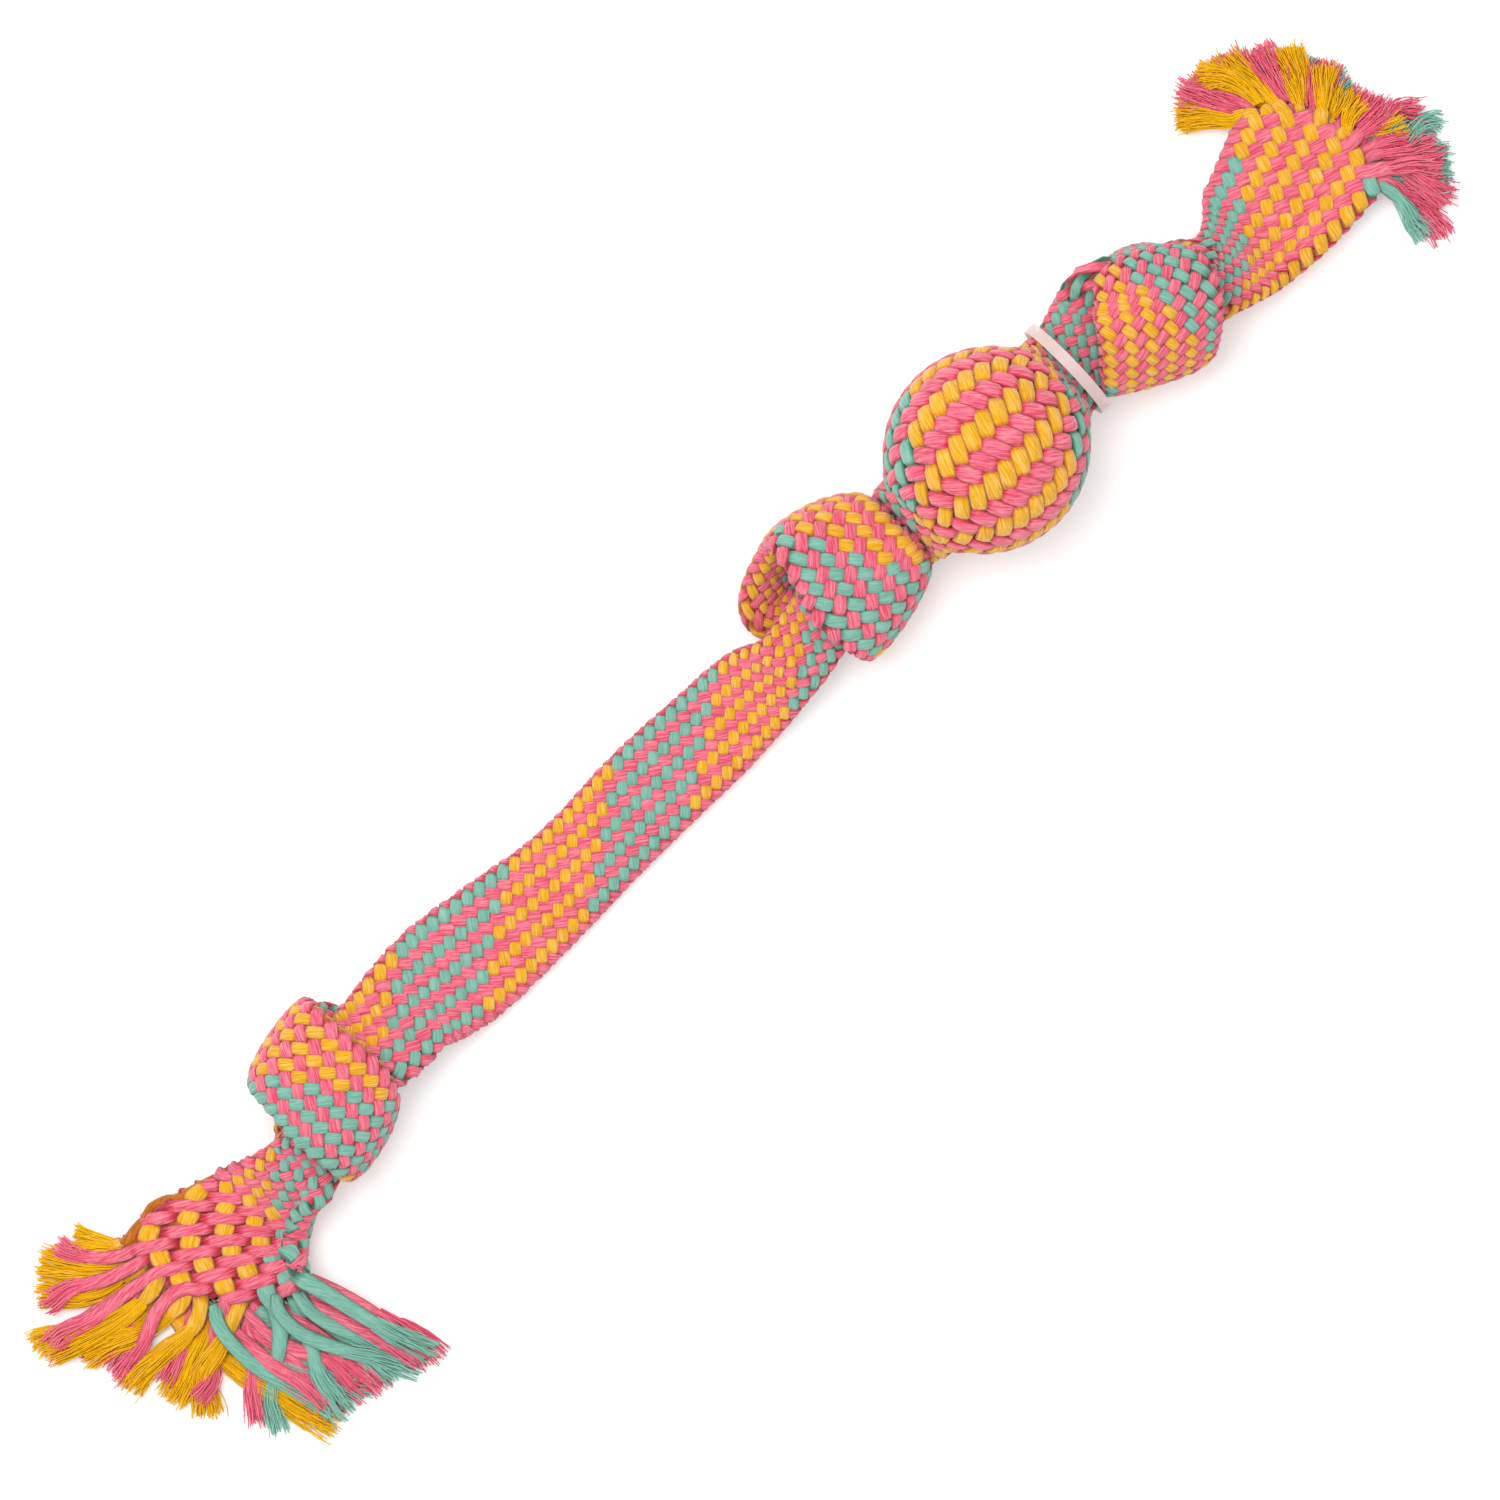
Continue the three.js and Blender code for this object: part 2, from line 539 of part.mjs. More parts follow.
// Flares: the same columns from the bend line to the widest place
const LOWER_FLARE_ROUTE = [
  LOWER_TAIL_ROUTE[3],
  [lowerFlareX - LOWER_FLARE_LENGTH / 2, -13.2, tapeHeight, 208, 62, TAPE_THICKNESS],
  [lowerFlareX - LOWER_FLARE_LENGTH, -14.5, tapeHeight, 218, LOWER_FLARE_WIDTH, TAPE_THICKNESS],
];
const UPPER_FLARE_ROUTE = [
  UPPER_TAIL_ROUTE[3],
  [upperFlareX + 0.46 * UPPER_FLARE_LENGTH, -3.5, tapeHeight, 11, 51, TAPE_THICKNESS],
  [upperFlareX + UPPER_FLARE_LENGTH, 0, tapeHeight, 16.7, UPPER_FLARE_WIDTH, TAPE_THICKNESS],
];

function routeSections(route, steps) {
  const sections = [];
  for (let i = 0; i <= (route.length - 1) * steps; i++) {
    sections.push(planSection(...splineRow(route, i / steps)));
  }
  return sections;
}

// A tail is round at the knot's mouth and hollow at the flare's bend line
function addTail(name, route, color) {
  const sections = routeSections(route, 2);
  const mouth = sections[0];
  sections.unshift(...roundedEnd(mouth, headingVector(route[0][3] + 180)).reverse());
  const solid = solidOf(loft(sections, TAPE_SIDES, TAPE_SQUARENESS));
  addPiece(name, geometryOf(solid.subtract(bendCutter(sections.at(-1)))), color);
}

// A flare is round at its bend line and bulges beyond its widest place, as half an ellipse
function addFlare(name, route, bulge, color) {
  const sections = routeSections(route, 2);
  sections.unshift(...roundedEnd(sections[0], headingVector(route[0][3] + 180)).reverse());
  const [x, y, z, heading, width, thickness] = route.at(-1);
  for (const angle of [14, 27, 40, 52, 63, 73, 81, 87]) {
    const middle = new THREE.Vector3(x, y, z).addScaledVector(headingVector(heading), bulge * Math.sin(rad(angle)));
    sections.push(planSection(...middle, heading, width * Math.cos(rad(angle)), thickness));
  }
  addPiece(name, geometryOf(solidOf(loft(sections, TAPE_SIDES, TAPE_SQUARENESS))), color);
}

// Loose strands: colour and the place of the tip, measured in the floor plan from the middle of the flare's
// widest place, in order round the rim
const LOWER_STRANDS = [
  [PINK, 23, -65.5], [TEAL, 13, -65], [PINK, 1.5, -63.5], [TEAL, -9, -61.5],
  [PINK, -18.5, -55], [TEAL, -28.5, -52], [YELLOW, -36.5, -45.5], [YELLOW, -45, -37.5],
  [PINK, -38.5, -29], [YELLOW, -48.5, -23.5], [PINK, -44.5, -15], [YELLOW, -55.5, -9],
  [PINK, -51.5, 0.5], [YELLOW, -64, 7.5], [PINK, -54.5, 14], [YELLOW, -65.5, 22],
  [YELLOW, -57.5, 31.5], [PINK, -42.5, 41.5], [PINK, -28.5, 39.5],
];
const UPPER_STRANDS = [
  [TEAL, 19, -46.5], [TEAL, 31.5, -37.5], [PINK, 39.5, -29], [YELLOW, 41.5, -17],
  [PINK, 34.5, -10], [YELLOW, 33, -2.5], [PINK, 29.5, 4.5], [YELLOW, 28, 11.5],
  [PINK, 28, 18.5], [YELLOW, 25, 25.5], [PINK, 21.5, 31.5], [YELLOW, 16.5, 37],
  [PINK, 10.5, 40.5], [YELLOW, 3, 43.5], [YELLOW, -6, 45], [PINK, -15.5, 39],
];
const RIM_SPREAD = 83;

function addStrands(name, list, route, bulge) {
  const [x, y, z, heading, width] = route.at(-1);
  const ahead = headingVector(heading);
  const left = headingVector(heading + 90);
  const rimSide = heading > 90 ? -1 : 1;
  const pitch = (2 * RIM_SPREAD) / (list.length - 1);
  const rimPoint = (angle) => new THREE.Vector3(x, y, z)
    .addScaledVector(left, (width / 2) * Math.sin(rad(angle)))
    .addScaledVector(ahead, bulge * Math.cos(rad(angle)));
  list.forEach(([color, tipX, tipY], i) => {
    const angle = rimSide * (-RIM_SPREAD + i * pitch);
    const rim = new THREE.Vector3().addScaledVector(left, bulge * Math.sin(rad(angle)));
    const normal = rim.addScaledVector(ahead, (width / 2) * Math.cos(rad(angle))).normalize();
    const root = rimPoint(angle).addScaledVector(normal, FIT);
    const room = rimPoint(angle + pitch / 2).distanceTo(rimPoint(angle - pitch / 2)) - FIT;
    const tip = new THREE.Vector3(x + tipX, y + tipY, STRAND_TIP_THICKNESS / 2);
    const bend = root.clone().addScaledVector(normal, 0.45 * root.distanceTo(tip));
    const path = new THREE.QuadraticBezierCurve3(root, bend, tip);
    const sections = [];
    for (let k = 0; k <= STRAND_STEPS; k++) {
      const share = k / STRAND_STEPS;
      const along = path.getTangent(share);
      const thick = THREE.MathUtils.lerp(STRAND_THICKNESS, STRAND_TIP_THICKNESS, share);
      const broad = THREE.MathUtils.lerp(Math.min(room, STRAND_TIP_WIDTH), STRAND_TIP_WIDTH, share);
      const turn = deg(Math.atan2(along.y, along.x));
      sections.push(planSection(...path.getPoint(share), turn, broad, thick));
    }
    const number = String(i + 1).padStart(2, '0');
    addPiece(`${name}_${number}`, geometryOf(solidOf(loft(sections, STRAND_SIDES, TAPE_SQUARENESS))), color);
  });
}

// Assembly, from the lower end to the upper end
addStrands('lower_strand', LOWER_STRANDS, LOWER_FLARE_ROUTE, LOWER_FLARE_BULGE);
addFlare('lower_flare', LOWER_FLARE_ROUTE, LOWER_FLARE_BULGE, YELLOW);
addTail('lower_tail', LOWER_TAIL_ROUTE, PINK);
addKnot('knot_1', lowerMouth, flatCuts[0], KNOT_1);
for (let i = 0; i < FLAT_SECTIONS; i++) {
  addFlat(i);
}
addKnot('knot_2', flatCuts.at(-1), neck1, KNOT_2);
addBall();
const knot3 = addKnot('knot_3', neck2, upperMouth, KNOT_3);
addBand('neck_band', knot3, neck2);
addTail('upper_tail', UPPER_TAIL_ROUTE, PINK);
addFlare('upper_flare', UPPER_FLARE_ROUTE, UPPER_FLARE_BULGE, YELLOW);
addStrands('upper_strand', UPPER_STRANDS, UPPER_FLARE_ROUTE, UPPER_FLARE_BULGE);

export default toy;
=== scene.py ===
"""Dresses the rope dog toy: the strands of its braid, the frayed ends, the clear band and the stage."""

import collections
import functools
import math

import bpy
import numpy as np
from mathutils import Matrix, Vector


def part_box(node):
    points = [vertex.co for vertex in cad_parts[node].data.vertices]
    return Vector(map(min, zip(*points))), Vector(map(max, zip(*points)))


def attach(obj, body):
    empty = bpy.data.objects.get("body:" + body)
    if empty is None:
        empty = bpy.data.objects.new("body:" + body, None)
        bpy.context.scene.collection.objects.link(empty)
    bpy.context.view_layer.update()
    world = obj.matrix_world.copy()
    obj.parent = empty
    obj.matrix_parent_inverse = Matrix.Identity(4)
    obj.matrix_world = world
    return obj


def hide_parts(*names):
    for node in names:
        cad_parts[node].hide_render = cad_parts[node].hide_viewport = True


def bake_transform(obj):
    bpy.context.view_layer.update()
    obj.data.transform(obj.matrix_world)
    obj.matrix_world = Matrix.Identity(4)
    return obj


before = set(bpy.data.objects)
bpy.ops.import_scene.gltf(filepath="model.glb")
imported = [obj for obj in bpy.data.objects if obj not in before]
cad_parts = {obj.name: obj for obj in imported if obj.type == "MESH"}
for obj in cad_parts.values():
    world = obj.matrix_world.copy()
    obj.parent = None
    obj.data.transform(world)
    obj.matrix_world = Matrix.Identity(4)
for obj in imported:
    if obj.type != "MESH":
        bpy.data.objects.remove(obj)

bl_info = {
    "name": "Rope Dog Toy",
    "version": (1, 0, 0),
    "blender": (4, 5, 0),
    "location": "View3D > Sidebar > Rope Toy",
    "description": "Braids the strands of a knotted rope toy over its solids",
    "category": "Object",
}

MM = 0.001
SEED = 7
# Metres beyond anything here
FAR_AWAY = 10.0
COLOURS = ("pink", "yellow", "teal")

# Solid pieces, in millimetres and degrees
TAPE_THICKNESS = 9.5
TAPE_HEIGHT = 4.25
FLAT_END = 87.5
FLAT_MIDDLES = (-70, -35, 0, 35, 70)
MOUTH_HEIGHT = 17.0
MOUTH_THICKNESS = 10.4
TAIL_MOUTH = (28.0, 11.0)
NECK = (31.0, 13.0)
NECK_HEIGHT = 20.5
BALL_X = 183.25
BALL_SIDE = 5.0
BALL_RADIUS = 34.0
BALL_REACH = 35.75
LOWER_MOUTH = (-147.5, -9.5)
FLAT_START = (-87.5, 4.5)
FLAT_FINISH = (87.5, -1.0)
NECK_1 = (147.5, 5.0)
NECK_2 = (219.0, 6.5)
UPPER_MOUTH = (279.0, -6.0)
CORE_RADIUS = 5.8
WRAP_RADIUS = 17.2
BACK_RADIUS = 13.2
KNOT_HEIGHT = 19.1
CORE_WIDTH = 16.0
CORE_THICKNESS = 9.4
BACK_WIDTH = 16.5
BACK_THICKNESS = 11.2
SIDE_THICKNESS = 10.0
WRAP_THICKNESS = 8.6
WRAP_CURL = 9.0
KNOT_LEAD = 4.0
BAND_THICKNESS = 0.8
LOWER_BULGE = 14.0
UPPER_BULGE = 13.0
# Facets round the clear band
BAND_SIDES = 96

# Shape of a section: 2 is an ellipse and more is squarer
TAPE_SQUARENESS = 2.6
KNOT_SQUARENESS = 2.2
BALL_SQUARENESS = 2.0
# Columns of a section
MIDDLE, SIDE, UP = slice(0, 3), slice(3, 6), slice(6, 9)
HALF_WIDTH, HALF_THICK, CURL, SQUARENESS, ROLL = range(9, 14)
# Sections between two rows of a route or a knot, in the whole flat stretch, between two rows of the ball,
# and past a rim
ROUTE_STEPS = 12
FLAT_STEPS = 240
BALL_STEPS = 8
RIM_STEPS = 14
# Rows from the middle of the ball to its shoulder, share of the radius at which that lies, share of the way
# from it to the neck at which the throat lies, and size of the throat as shares of the neck's
BALL_ROWS = 6
SHOULDER_SHARE = 0.88
THROAT_SHARE = 0.55
THROAT_SIZE = (1.08, 1.6)
# Least half width and half thickness of a section under its strands, and angle that counts as straight
LEAST_HALF_WIDTH = 1.0
LEAST_HALF_THICK = 0.6
STRAIGHT = 1e-4
# Share of the half width at which a rolled edge starts to roll, and the least roll that shows
ROLL_START = 0.3
LEAST_ROLL = 0.01

# Braid: strands each way up to the ball, and from the ball to the upper end, where the stitches are finer
STRANDS = 20
UPPER_STRANDS = 24
# Millimetres between stations along the rope, and stations to each side that one stretch is smoothed over
STATION_STEP = 1.1
EASE_STATIONS = 3
# Share of a stretch at each end in which its values ease into the next stretch's
EASE_SHARE = 0.15
# Points round a section as drawn, and round the grid that the strands run over
RING_POINTS = 128
GRID_POINTS = 192
# Millimetres below the skin at which the girth is taken
GIRTH_DEPTH = 2.0
# Share by which a strand crosses faster where it lies on top, and slower where it dives under
STEEPER = 0.4
# How squarely a strand rises and dives, and the share by which it swells where it lies on top
CROWN = 2.1
SWELL = 0.16
# Limits to the width that the braid's own turn leaves the strands of one way, as a share of their spacing
SQUEEZE = (0.72, 1.05)
# Half thickness of a strand as a share of its spacing, its least in millimetres, and how far the strand
# rises as a share of it
THICK_SHARE = 0.36
LEAST_THICK = 0.75
LIFT_SHARE = 0.95
# Share by which the corners of a strand's section stand out of an ellipse
SQUARE_CORNERS = 0.13
# Share by which the strands lie flatter along the two edges of the tape, and power that keeps this there
EDGE_CALM = 0.5
EDGE_POWER = 8
# Millimetres by which a strand clears the floor
FLOOR_GAP = 0.05
# Millimetres along the rope in which a strand goes once round
LEADS = {
    "lower_flare": 125.0,
    "lower_tail": 107.0,
    "knot_1": 107.5,
    "flat": 97.0,
    "knot_2": (108.0, 101.0),
    "ball": 138.0,
    "knot_3": (105.5, 106.0),
    "upper_tail": 98.0,
    "upper_flare": 140.0,
}
# Width of the strands where they open out over the ball, as a share of their width elsewhere
BALL_WIDTHS = {"ball": 0.92}
# Share by which pink lies over an edge as one smooth hem: the left edge if above zero, else the right one
HEMS = {"knot_1": 1.0, "flat": -1.0, "knot_3": 1.0, "upper_tail": 1.0, "upper_flare": 0.6}
# Share of a knot and of another stretch left without a hem at each end, and share in which the hem eases in
KNOT_HEM_INSET = 0.36
HEM_INSET = 0.06
HEM_EASE = 0.05
# Power that keeps a hem to the edge, rise of each way of strands in it, and how much wider its pink is
HEM_POWER = 10
HEM_RISE = {1: 0.6, -1: -0.9}
HEM_WIDER = 0.4
# Turn of the braid about its own line, in spacings of the lower braid's strands, for each stretch that shows
TWISTS = {
    "lower_rim": -3,
    "lower": 2,
    "knot_1": 6.4,
    "flat": 9.6,
    "knot_2": 4,
    "ball": 10,
    "neck": 6.67,
    "knot_3": 5,
    "upper": 10,
}
# For each knot, the stretches before it, at its first mouth, in it and after it
TWIST_ORDER = (
    ("lower", "lower", "knot_1", "flat"),
    ("flat", "flat", "knot_2", "ball"),
    ("ball", "neck", "knot_3", "upper"),
)
# Millimetres before a knot at which the turn starts to change to its first mouth's, shares of the knot's
# length between which that one holds and at which the knot's own is reached, and shares, back from its far
# mouth, at which the knot's own ends and the next stretch's is reached
TWIST_LEAD = 14
TWIST_MOUTH = (0.04, 0.15)
TWIST_START = 0.27
TWIST_END = (0.24, 0.06)

# Loose ends: points on each path, and rounds in which they settle over each other
LOOSE_STEPS = 16
SETTLE_ROUNDS = 40
# Half the width and thickness of a loose end, share of it that is still plied yarn, fibres as a share of the
# setting, and how far they wave
LooseEnd = collections.namedtuple("LooseEnd", "half_width half_thick plied fibres wave")
LOOSE = {
    "lower": {
        "pink": LooseEnd(2.7, 2.0, 0.88, 1.0, 1.4),
        "yellow": LooseEnd(3.9, 1.7, 0.42, 2.0, 1.6),
        "teal": LooseEnd(2.7, 2.0, 0.88, 1.0, 1.4),
    },
    "upper": {
        "pink": LooseEnd(3.1, 2.4, 0.4, 1.05, 2.6),
        "yellow": LooseEnd(3.4, 1.8, 0.3, 1.7, 2.2),
        "teal": LooseEnd(3.0, 2.2, 0.45, 1.35, 2.6),
    },
}
# Strands that leave the lower rim from below: share of the way round, from the right-hand edge, in which
# they do, and half turns in from that edge at which their tips lie for one whole way round
UNDERSIDE = 0.36
UNDERSIDE_REACH = 0.6
# Degrees to each side that the tips take up on a rim
RIM_SPREAD = 83.0
# Tips by which an end strays from its own, share of the way to the tip that it reaches, and heights of a tip
# from the top of the rim and from below
TIP_STRAY = 0.5
TIP_REACH = (0.97, 1.1)
TOP_TIP = (3.5, 6)
LOW_TIP = (2, 3)
# Sideways stray of a path where it leaves the rim and where it comes to its tip, and how far each end of the
# path bends it, as shares of its length
RIM_WANDER = 0.35
TIP_WANDER = 0.2
RIM_PULL = 0.38
TIP_PULL = 0.35
# Settling: share of its half sizes that an end keeps to itself, points over which it comes free of the rim,
# weight of height, least distance, shares pressed apart and smoothed in a round, millimetres it sinks, and
# millimetres it clears the floor by
KEEP_SHARE = 0.45
FREE_STEPS = 4
HEIGHT_WEIGHT = 1.3
LEAST_DISTANCE = 0.05
PRESS_SHARE = 0.35
SMOOTH_SHARE = 0.25
SINK = 0.12
LIE_GAP = 0.2
# Taper of a plied end along its length, and share of it at which the fibres start
TAPER = ((0, 0.65, 1), (1, 0.95, 0.5))
FRAY_START = 0.65

# Millimetres inside a knot's mouth at which its own strands start, and inside a neck for the ball's
MOUTH_CUT = 8.0
NECK_CUT = 14.0
# Stations in from each end of a piece, and stations past a flare's hinge, that mark the stretch handed to
# bender, which does not use it
STILL = 3
HINGE_REACH = 10

# Photograph: its middle and width on the braid's level, and the turn of the toy in it
VIEW_MIDDLE = (58.25, -12.33)
VIEW_WIDTH = 500.0
VIEW_LEVEL = 17.0
VIEW_TURN = -43.83
LENS = 135.0
SENSOR = 36.0
# Stage: half the floor's side in metres, its white and its glow to the camera, strength of the surroundings
# as light and as backdrop, and size of the key light and its place from the middle of the view, in metres
FLOOR_HALF = 3.0
FLOOR_WHITE = 0.93
FLOOR_GLOW = 0.26
WORLD_LEVELS = (0.75, 1.0)
KEY_SIZE = 0.9
KEY_PLACE = (-0.08, 0.45, 1.4)


def climb(share):
    """Height of the braid's middle at a share of its climb from the floor to a knot's mouth."""
    return TAPE_HEIGHT + share * (MOUTH_HEIGHT - TAPE_HEIGHT)


def heading_between(start, finish):
    return math.degrees(math.atan2(finish[1] - start[1], finish[0] - start[0]))


KNOT_1_HEADING = heading_between(LOWER_MOUTH, FLAT_START)
KNOT_2_HEADING = heading_between(FLAT_FINISH, NECK_1)
KNOT_3_HEADING = heading_between(NECK_2, UPPER_MOUTH)

# Flat stretch: share of its half length, sideways place, share of the climb to a knot's mouth, width
FLAT_ROUTE = [
    (-1.0, 4.5, 1, 36.0),
    (-0.88, 4.0, 0.5, 40.0),
    (-0.75, 2.8, 0.08, 43.0),
    (-0.6, 1.7, 0, 42.0),
    (-0.4, 0.6, 0, 39.0),
    (-0.2, -0.4, 0, 35.6),
    (0.0, 0.0, 0, 34.6),
    (0.2, 0.8, 0, 35.6),
    (0.4, 0.9, 0, 35.6),
    (0.6, 0.5, 0, 34.8),
    (0.75, 0.7, 0.08, 33.6),
    (0.88, 0.3, 0.5, 31.0),
    (1.0, -1.0, 1, 25.0),
]

# Ends, from the widest place of the flare to the knot's mouth: place, height, heading, width, thickness,
# roll of the right-hand edge
LOWER_END = [
    (-185.75, -14.5, TAPE_HEIGHT, 38, 78.0, TAPE_THICKNESS - 2.5, 110),
    (-176.0, -13.2, TAPE_HEIGHT, 28, 68.0, TAPE_THICKNESS - 2.5, 165),
    (-166.0, -12.5, TAPE_HEIGHT, 18, 50.0, TAPE_THICKNESS - 2.5, 185),
    (-160.82, -11.4, climb(0.16), 16, 44.0, TAPE_THICKNESS - 2.5, 185),
    (-153.98, -10.4, climb(0.66), 14, 34.0, TAPE_THICKNESS - 1.5, 140),
    (*LOWER_MOUTH, MOUTH_HEIGHT, KNOT_1_HEADING, *TAIL_MOUTH, 0),
]
UPPER_END = [
    (331.0, 1.5, TAPE_HEIGHT, 16.7, 57.0, TAPE_THICKNESS, 40),
    (312.0, -3.5, TAPE_HEIGHT, 11, 51.0, TAPE_THICKNESS, 75),
    (300.0, -5.2, TAPE_HEIGHT, 6, 46.0, TAPE_THICKNESS, 85),
    (294.12, -6.0, climb(0.16), 0, 40.0, TAPE_THICKNESS, 70),
    (286.35, -6.6, climb(0.66), -6, 32.0, TAPE_THICKNESS + 0.6, 40),
    (*UPPER_MOUTH, MOUTH_HEIGHT, KNOT_3_HEADING, *TAIL_MOUTH, 0),
]

# Tips of the loose ends in the floor plan, in order from the right-hand edge of the rope to the left
LOWER_TIPS = [
    (-162.5, -80), (-172.5, -79.5), (-184, -78), (-194.5, -76), (-204, -69.5), (-214, -66.5), (-222, -60),
    (-230.5, -52), (-224, -43.5), (-234, -38), (-230, -29.5), (-241, -23.5), (-237, -14), (-249.5, -7),
    (-240, -0.5), (-251, 7.5), (-243, 17), (-228, 27), (-214, 25),
]
UPPER_TIPS = [
    (345, -46.5), (357.5, -37.5), (365.5, -29), (367.5, -17), (360.5, -10), (359, -2.5), (355.5, 4.5),
    (354, 11.5), (354, 18.5), (351, 25.5), (347.5, 31.5), (342.5, 37), (336.5, 40.5), (329, 43.5),
    (320, 45), (310.5, 39),
]

# How each knot was pulled tight, with a value for each half where there are two
KNOT_1 = {
    "hand": 1, "roll": 15, "shift": -3, "offset": 4.7,
    "reach": (24.1, 19), "slant": (6, 8), "side_width": (37, 28), "spread": (0.9, 1.05),
    "tilt": (0, 0), "fold": (0, 0), "lobe": (0, 0), "sway": (0, 0),
    "wrap_width": 41, "throat": ((22, 18, 16), (35, 30, 20)),
}
KNOT_2 = {
    "hand": -1, "roll": -20, "shift": 6.5, "offset": 2.8,
    "reach": (18.5, 24), "slant": (0, -6.5), "side_width": (37, 38), "spread": (0.9, 1.35),
    "tilt": (0.15, 0.55), "fold": (0, 8), "lobe": (0, 5), "sway": (0, 0),
    "wrap_width": 46, "throat": ((25, 22, 18), (24, 18, 16)),
}
KNOT_3 = {
    "hand": 1, "roll": -7, "shift": 9, "offset": 3,
    "reach": (16, 19), "slant": (3, 12), "side_width": (16, 41), "spread": (0.85, 0.9),
    "tilt": (0.4, -0.26), "fold": (0, 0), "lobe": (0, 0), "sway": (12, 0),
    "wrap_width": 45, "throat": ((35, 34, 28), (28, 25, 18)),
}
# Sizes of a knot that each half has a value of
HALF_SIZES = ("reach", "slant", "side_width", "spread", "throat", "tilt", "fold", "lobe")
# Shares by which the first rows of a half follow a mouth that lies off the axis
MOUTH_PULL = (0.55, 0.15)
# Shares by which the first rows of a half sway to the rope's left
MOUTH_SWAY = (0.6, 1.0, 0.8, 0.4)
# Rows over which the sections turn from the mouth's heading to the braid's own
MOUTH_ROWS = 2.5
# Turns between which the roll dies away in the core
FULL_ROLL = 180
NO_ROLL = 234
# Rows to each side over which the way along a knot is taken
ROW_NUDGE = 0.02


# Sections


def unit(vectors):
    return vectors / np.maximum(np.linalg.norm(vectors, axis=-1, keepdims=True), 1e-9)


def smoothstep(x):
    x = np.clip(x, 0, 1)
    return x * x * (3 - 2 * x)


def run_along(points):
    """Distance along a path to each of its points."""
    return np.concatenate(([0], np.cumsum(np.linalg.norm(np.diff(points, axis=0), axis=1))))


def spline_rows(rows, at):
    """Uniform Catmull-Rom value of every column of rows, at row numbers with a fraction."""
    rows = np.asarray(rows, float)
    i = np.clip(np.floor(at).astype(int), 0, len(rows) - 2)
    f = (at - i)[:, None]
    a, b, c, d = (rows[np.clip(i + k, 0, len(rows) - 1)] for k in (-1, 0, 1, 2))
    slope_0, slope_1, rise = (c - a) / 2, (d - b) / 2, c - b
    return b + f * (slope_0 + f * (3 * rise - 2 * slope_0 - slope_1 + f * (slope_0 + slope_1 - 2 * rise)))


def row_numbers(rows, steps):
    """Row numbers with a fraction, at a number of steps from each row to the next."""
    return np.linspace(0, len(rows) - 1, (len(rows) - 1) * steps + 1)


def plan_sections(rows, squareness):
    """Sections that stand square to a heading in the floor plan. A last column rolls the right-hand edge."""
    x, y, z, heading, width, thickness, *roll = np.asarray(rows, float).T
    turn = np.radians(heading)
    none = np.zeros_like(turn)
    one = np.ones_like(turn)
    side = (-np.sin(turn), np.cos(turn), none)
    up = (none, none, one)
    shape = (width / 2, thickness / 2, none, squareness * one, np.radians(roll[0]) if roll else none)
    return np.column_stack((x, y, z, *side, *up, *shape))


def route_sections(rows, squareness, steps):
    return plan_sections(spline_rows(rows, row_numbers(rows, steps)), squareness)


def flat_sections():
    """Sections of the flat stretch, which takes on the heading and thickness of the mouth at each end."""
    route = np.asarray(FLAT_ROUTE, float)
    heading = np.zeros(len(route))
    heading[[0, -1]] = KNOT_1_HEADING, KNOT_2_HEADING
    thickness = np.full(len(route), TAPE_THICKNESS)
    thickness[[0, -1]] = MOUTH_THICKNESS
    route = np.column_stack((route[:, :2], climb(route[:, 2]), heading, route[:, 3], thickness))
    share = np.linspace(-1, 1, FLAT_STEPS + 1)
    rows = spline_rows(route, np.interp(share, route[:, 0], np.arange(len(route))))
    rows[:, 0] = share * FLAT_END
    return plan_sections(rows, TAPE_SQUARENESS)


def half_knot(reach, slant, side_width, spread, throat, tilt, fold, lobe, wrap_width):
    """Half of a knot, from its mouth to the middle of the wrap: turn about the axis, place along it, radius,
    width, thickness, edge curl, and lean of the outer side towards the far mouth."""
    near_width, top_width = (share * side_width + (1 - share) * wrap_width for share in (0.65, 0.35))
    back_width = BACK_WIDTH + lobe
    return [
        (-345, -19, 0.38 * CORE_RADIUS, throat[0], CORE_THICKNESS, 0, 0),
        (-330, -13, 0.91 * CORE_RADIUS, throat[1], CORE_THICKNESS, 0, 0),
        (-302, -6.5, CORE_RADIUS, throat[2], CORE_THICKNESS, 0, 0),
        (-270, 0, CORE_RADIUS, CORE_WIDTH, CORE_THICKNESS, 0, 0),
        (-236, 7, 1.1 * CORE_RADIUS, CORE_WIDTH - 0.5, CORE_THICKNESS, 0, 0),
        (-207, 13 * spread, 1.6 * CORE_RADIUS, CORE_WIDTH - 1, CORE_THICKNESS + 0.5, 0, 0),
        (-177, 17 * spread, BACK_RADIUS + 0.3 * lobe, back_width, BACK_THICKNESS, 0, 0),
        (-146, 17.5 * spread, 1.24 * BACK_RADIUS + lobe, back_width + 3.5, BACK_THICKNESS, 0, 0),
        (-115, slant + 3 + fold, reach - 2.5 + 0.6 * lobe, side_width - 6, SIDE_THICKNESS, WRAP_CURL / 4,
         0.5 * tilt),
        (-90, slant + 0.25 * fold, reach, side_width, SIDE_THICKNESS, WRAP_CURL / 2, tilt),
        (-65, 0.76 * slant, reach, near_width, WRAP_THICKNESS + 0.6, 0.75 * WRAP_CURL, 0.8 * tilt),
        (-35, 0.4 * slant, WRAP_RADIUS + 1.9, top_width, WRAP_THICKNESS, WRAP_CURL, 0.4 * tilt),
        (0, 0, WRAP_RADIUS, wrap_width, WRAP_THICKNESS, WRAP_CURL, 0),
    ]


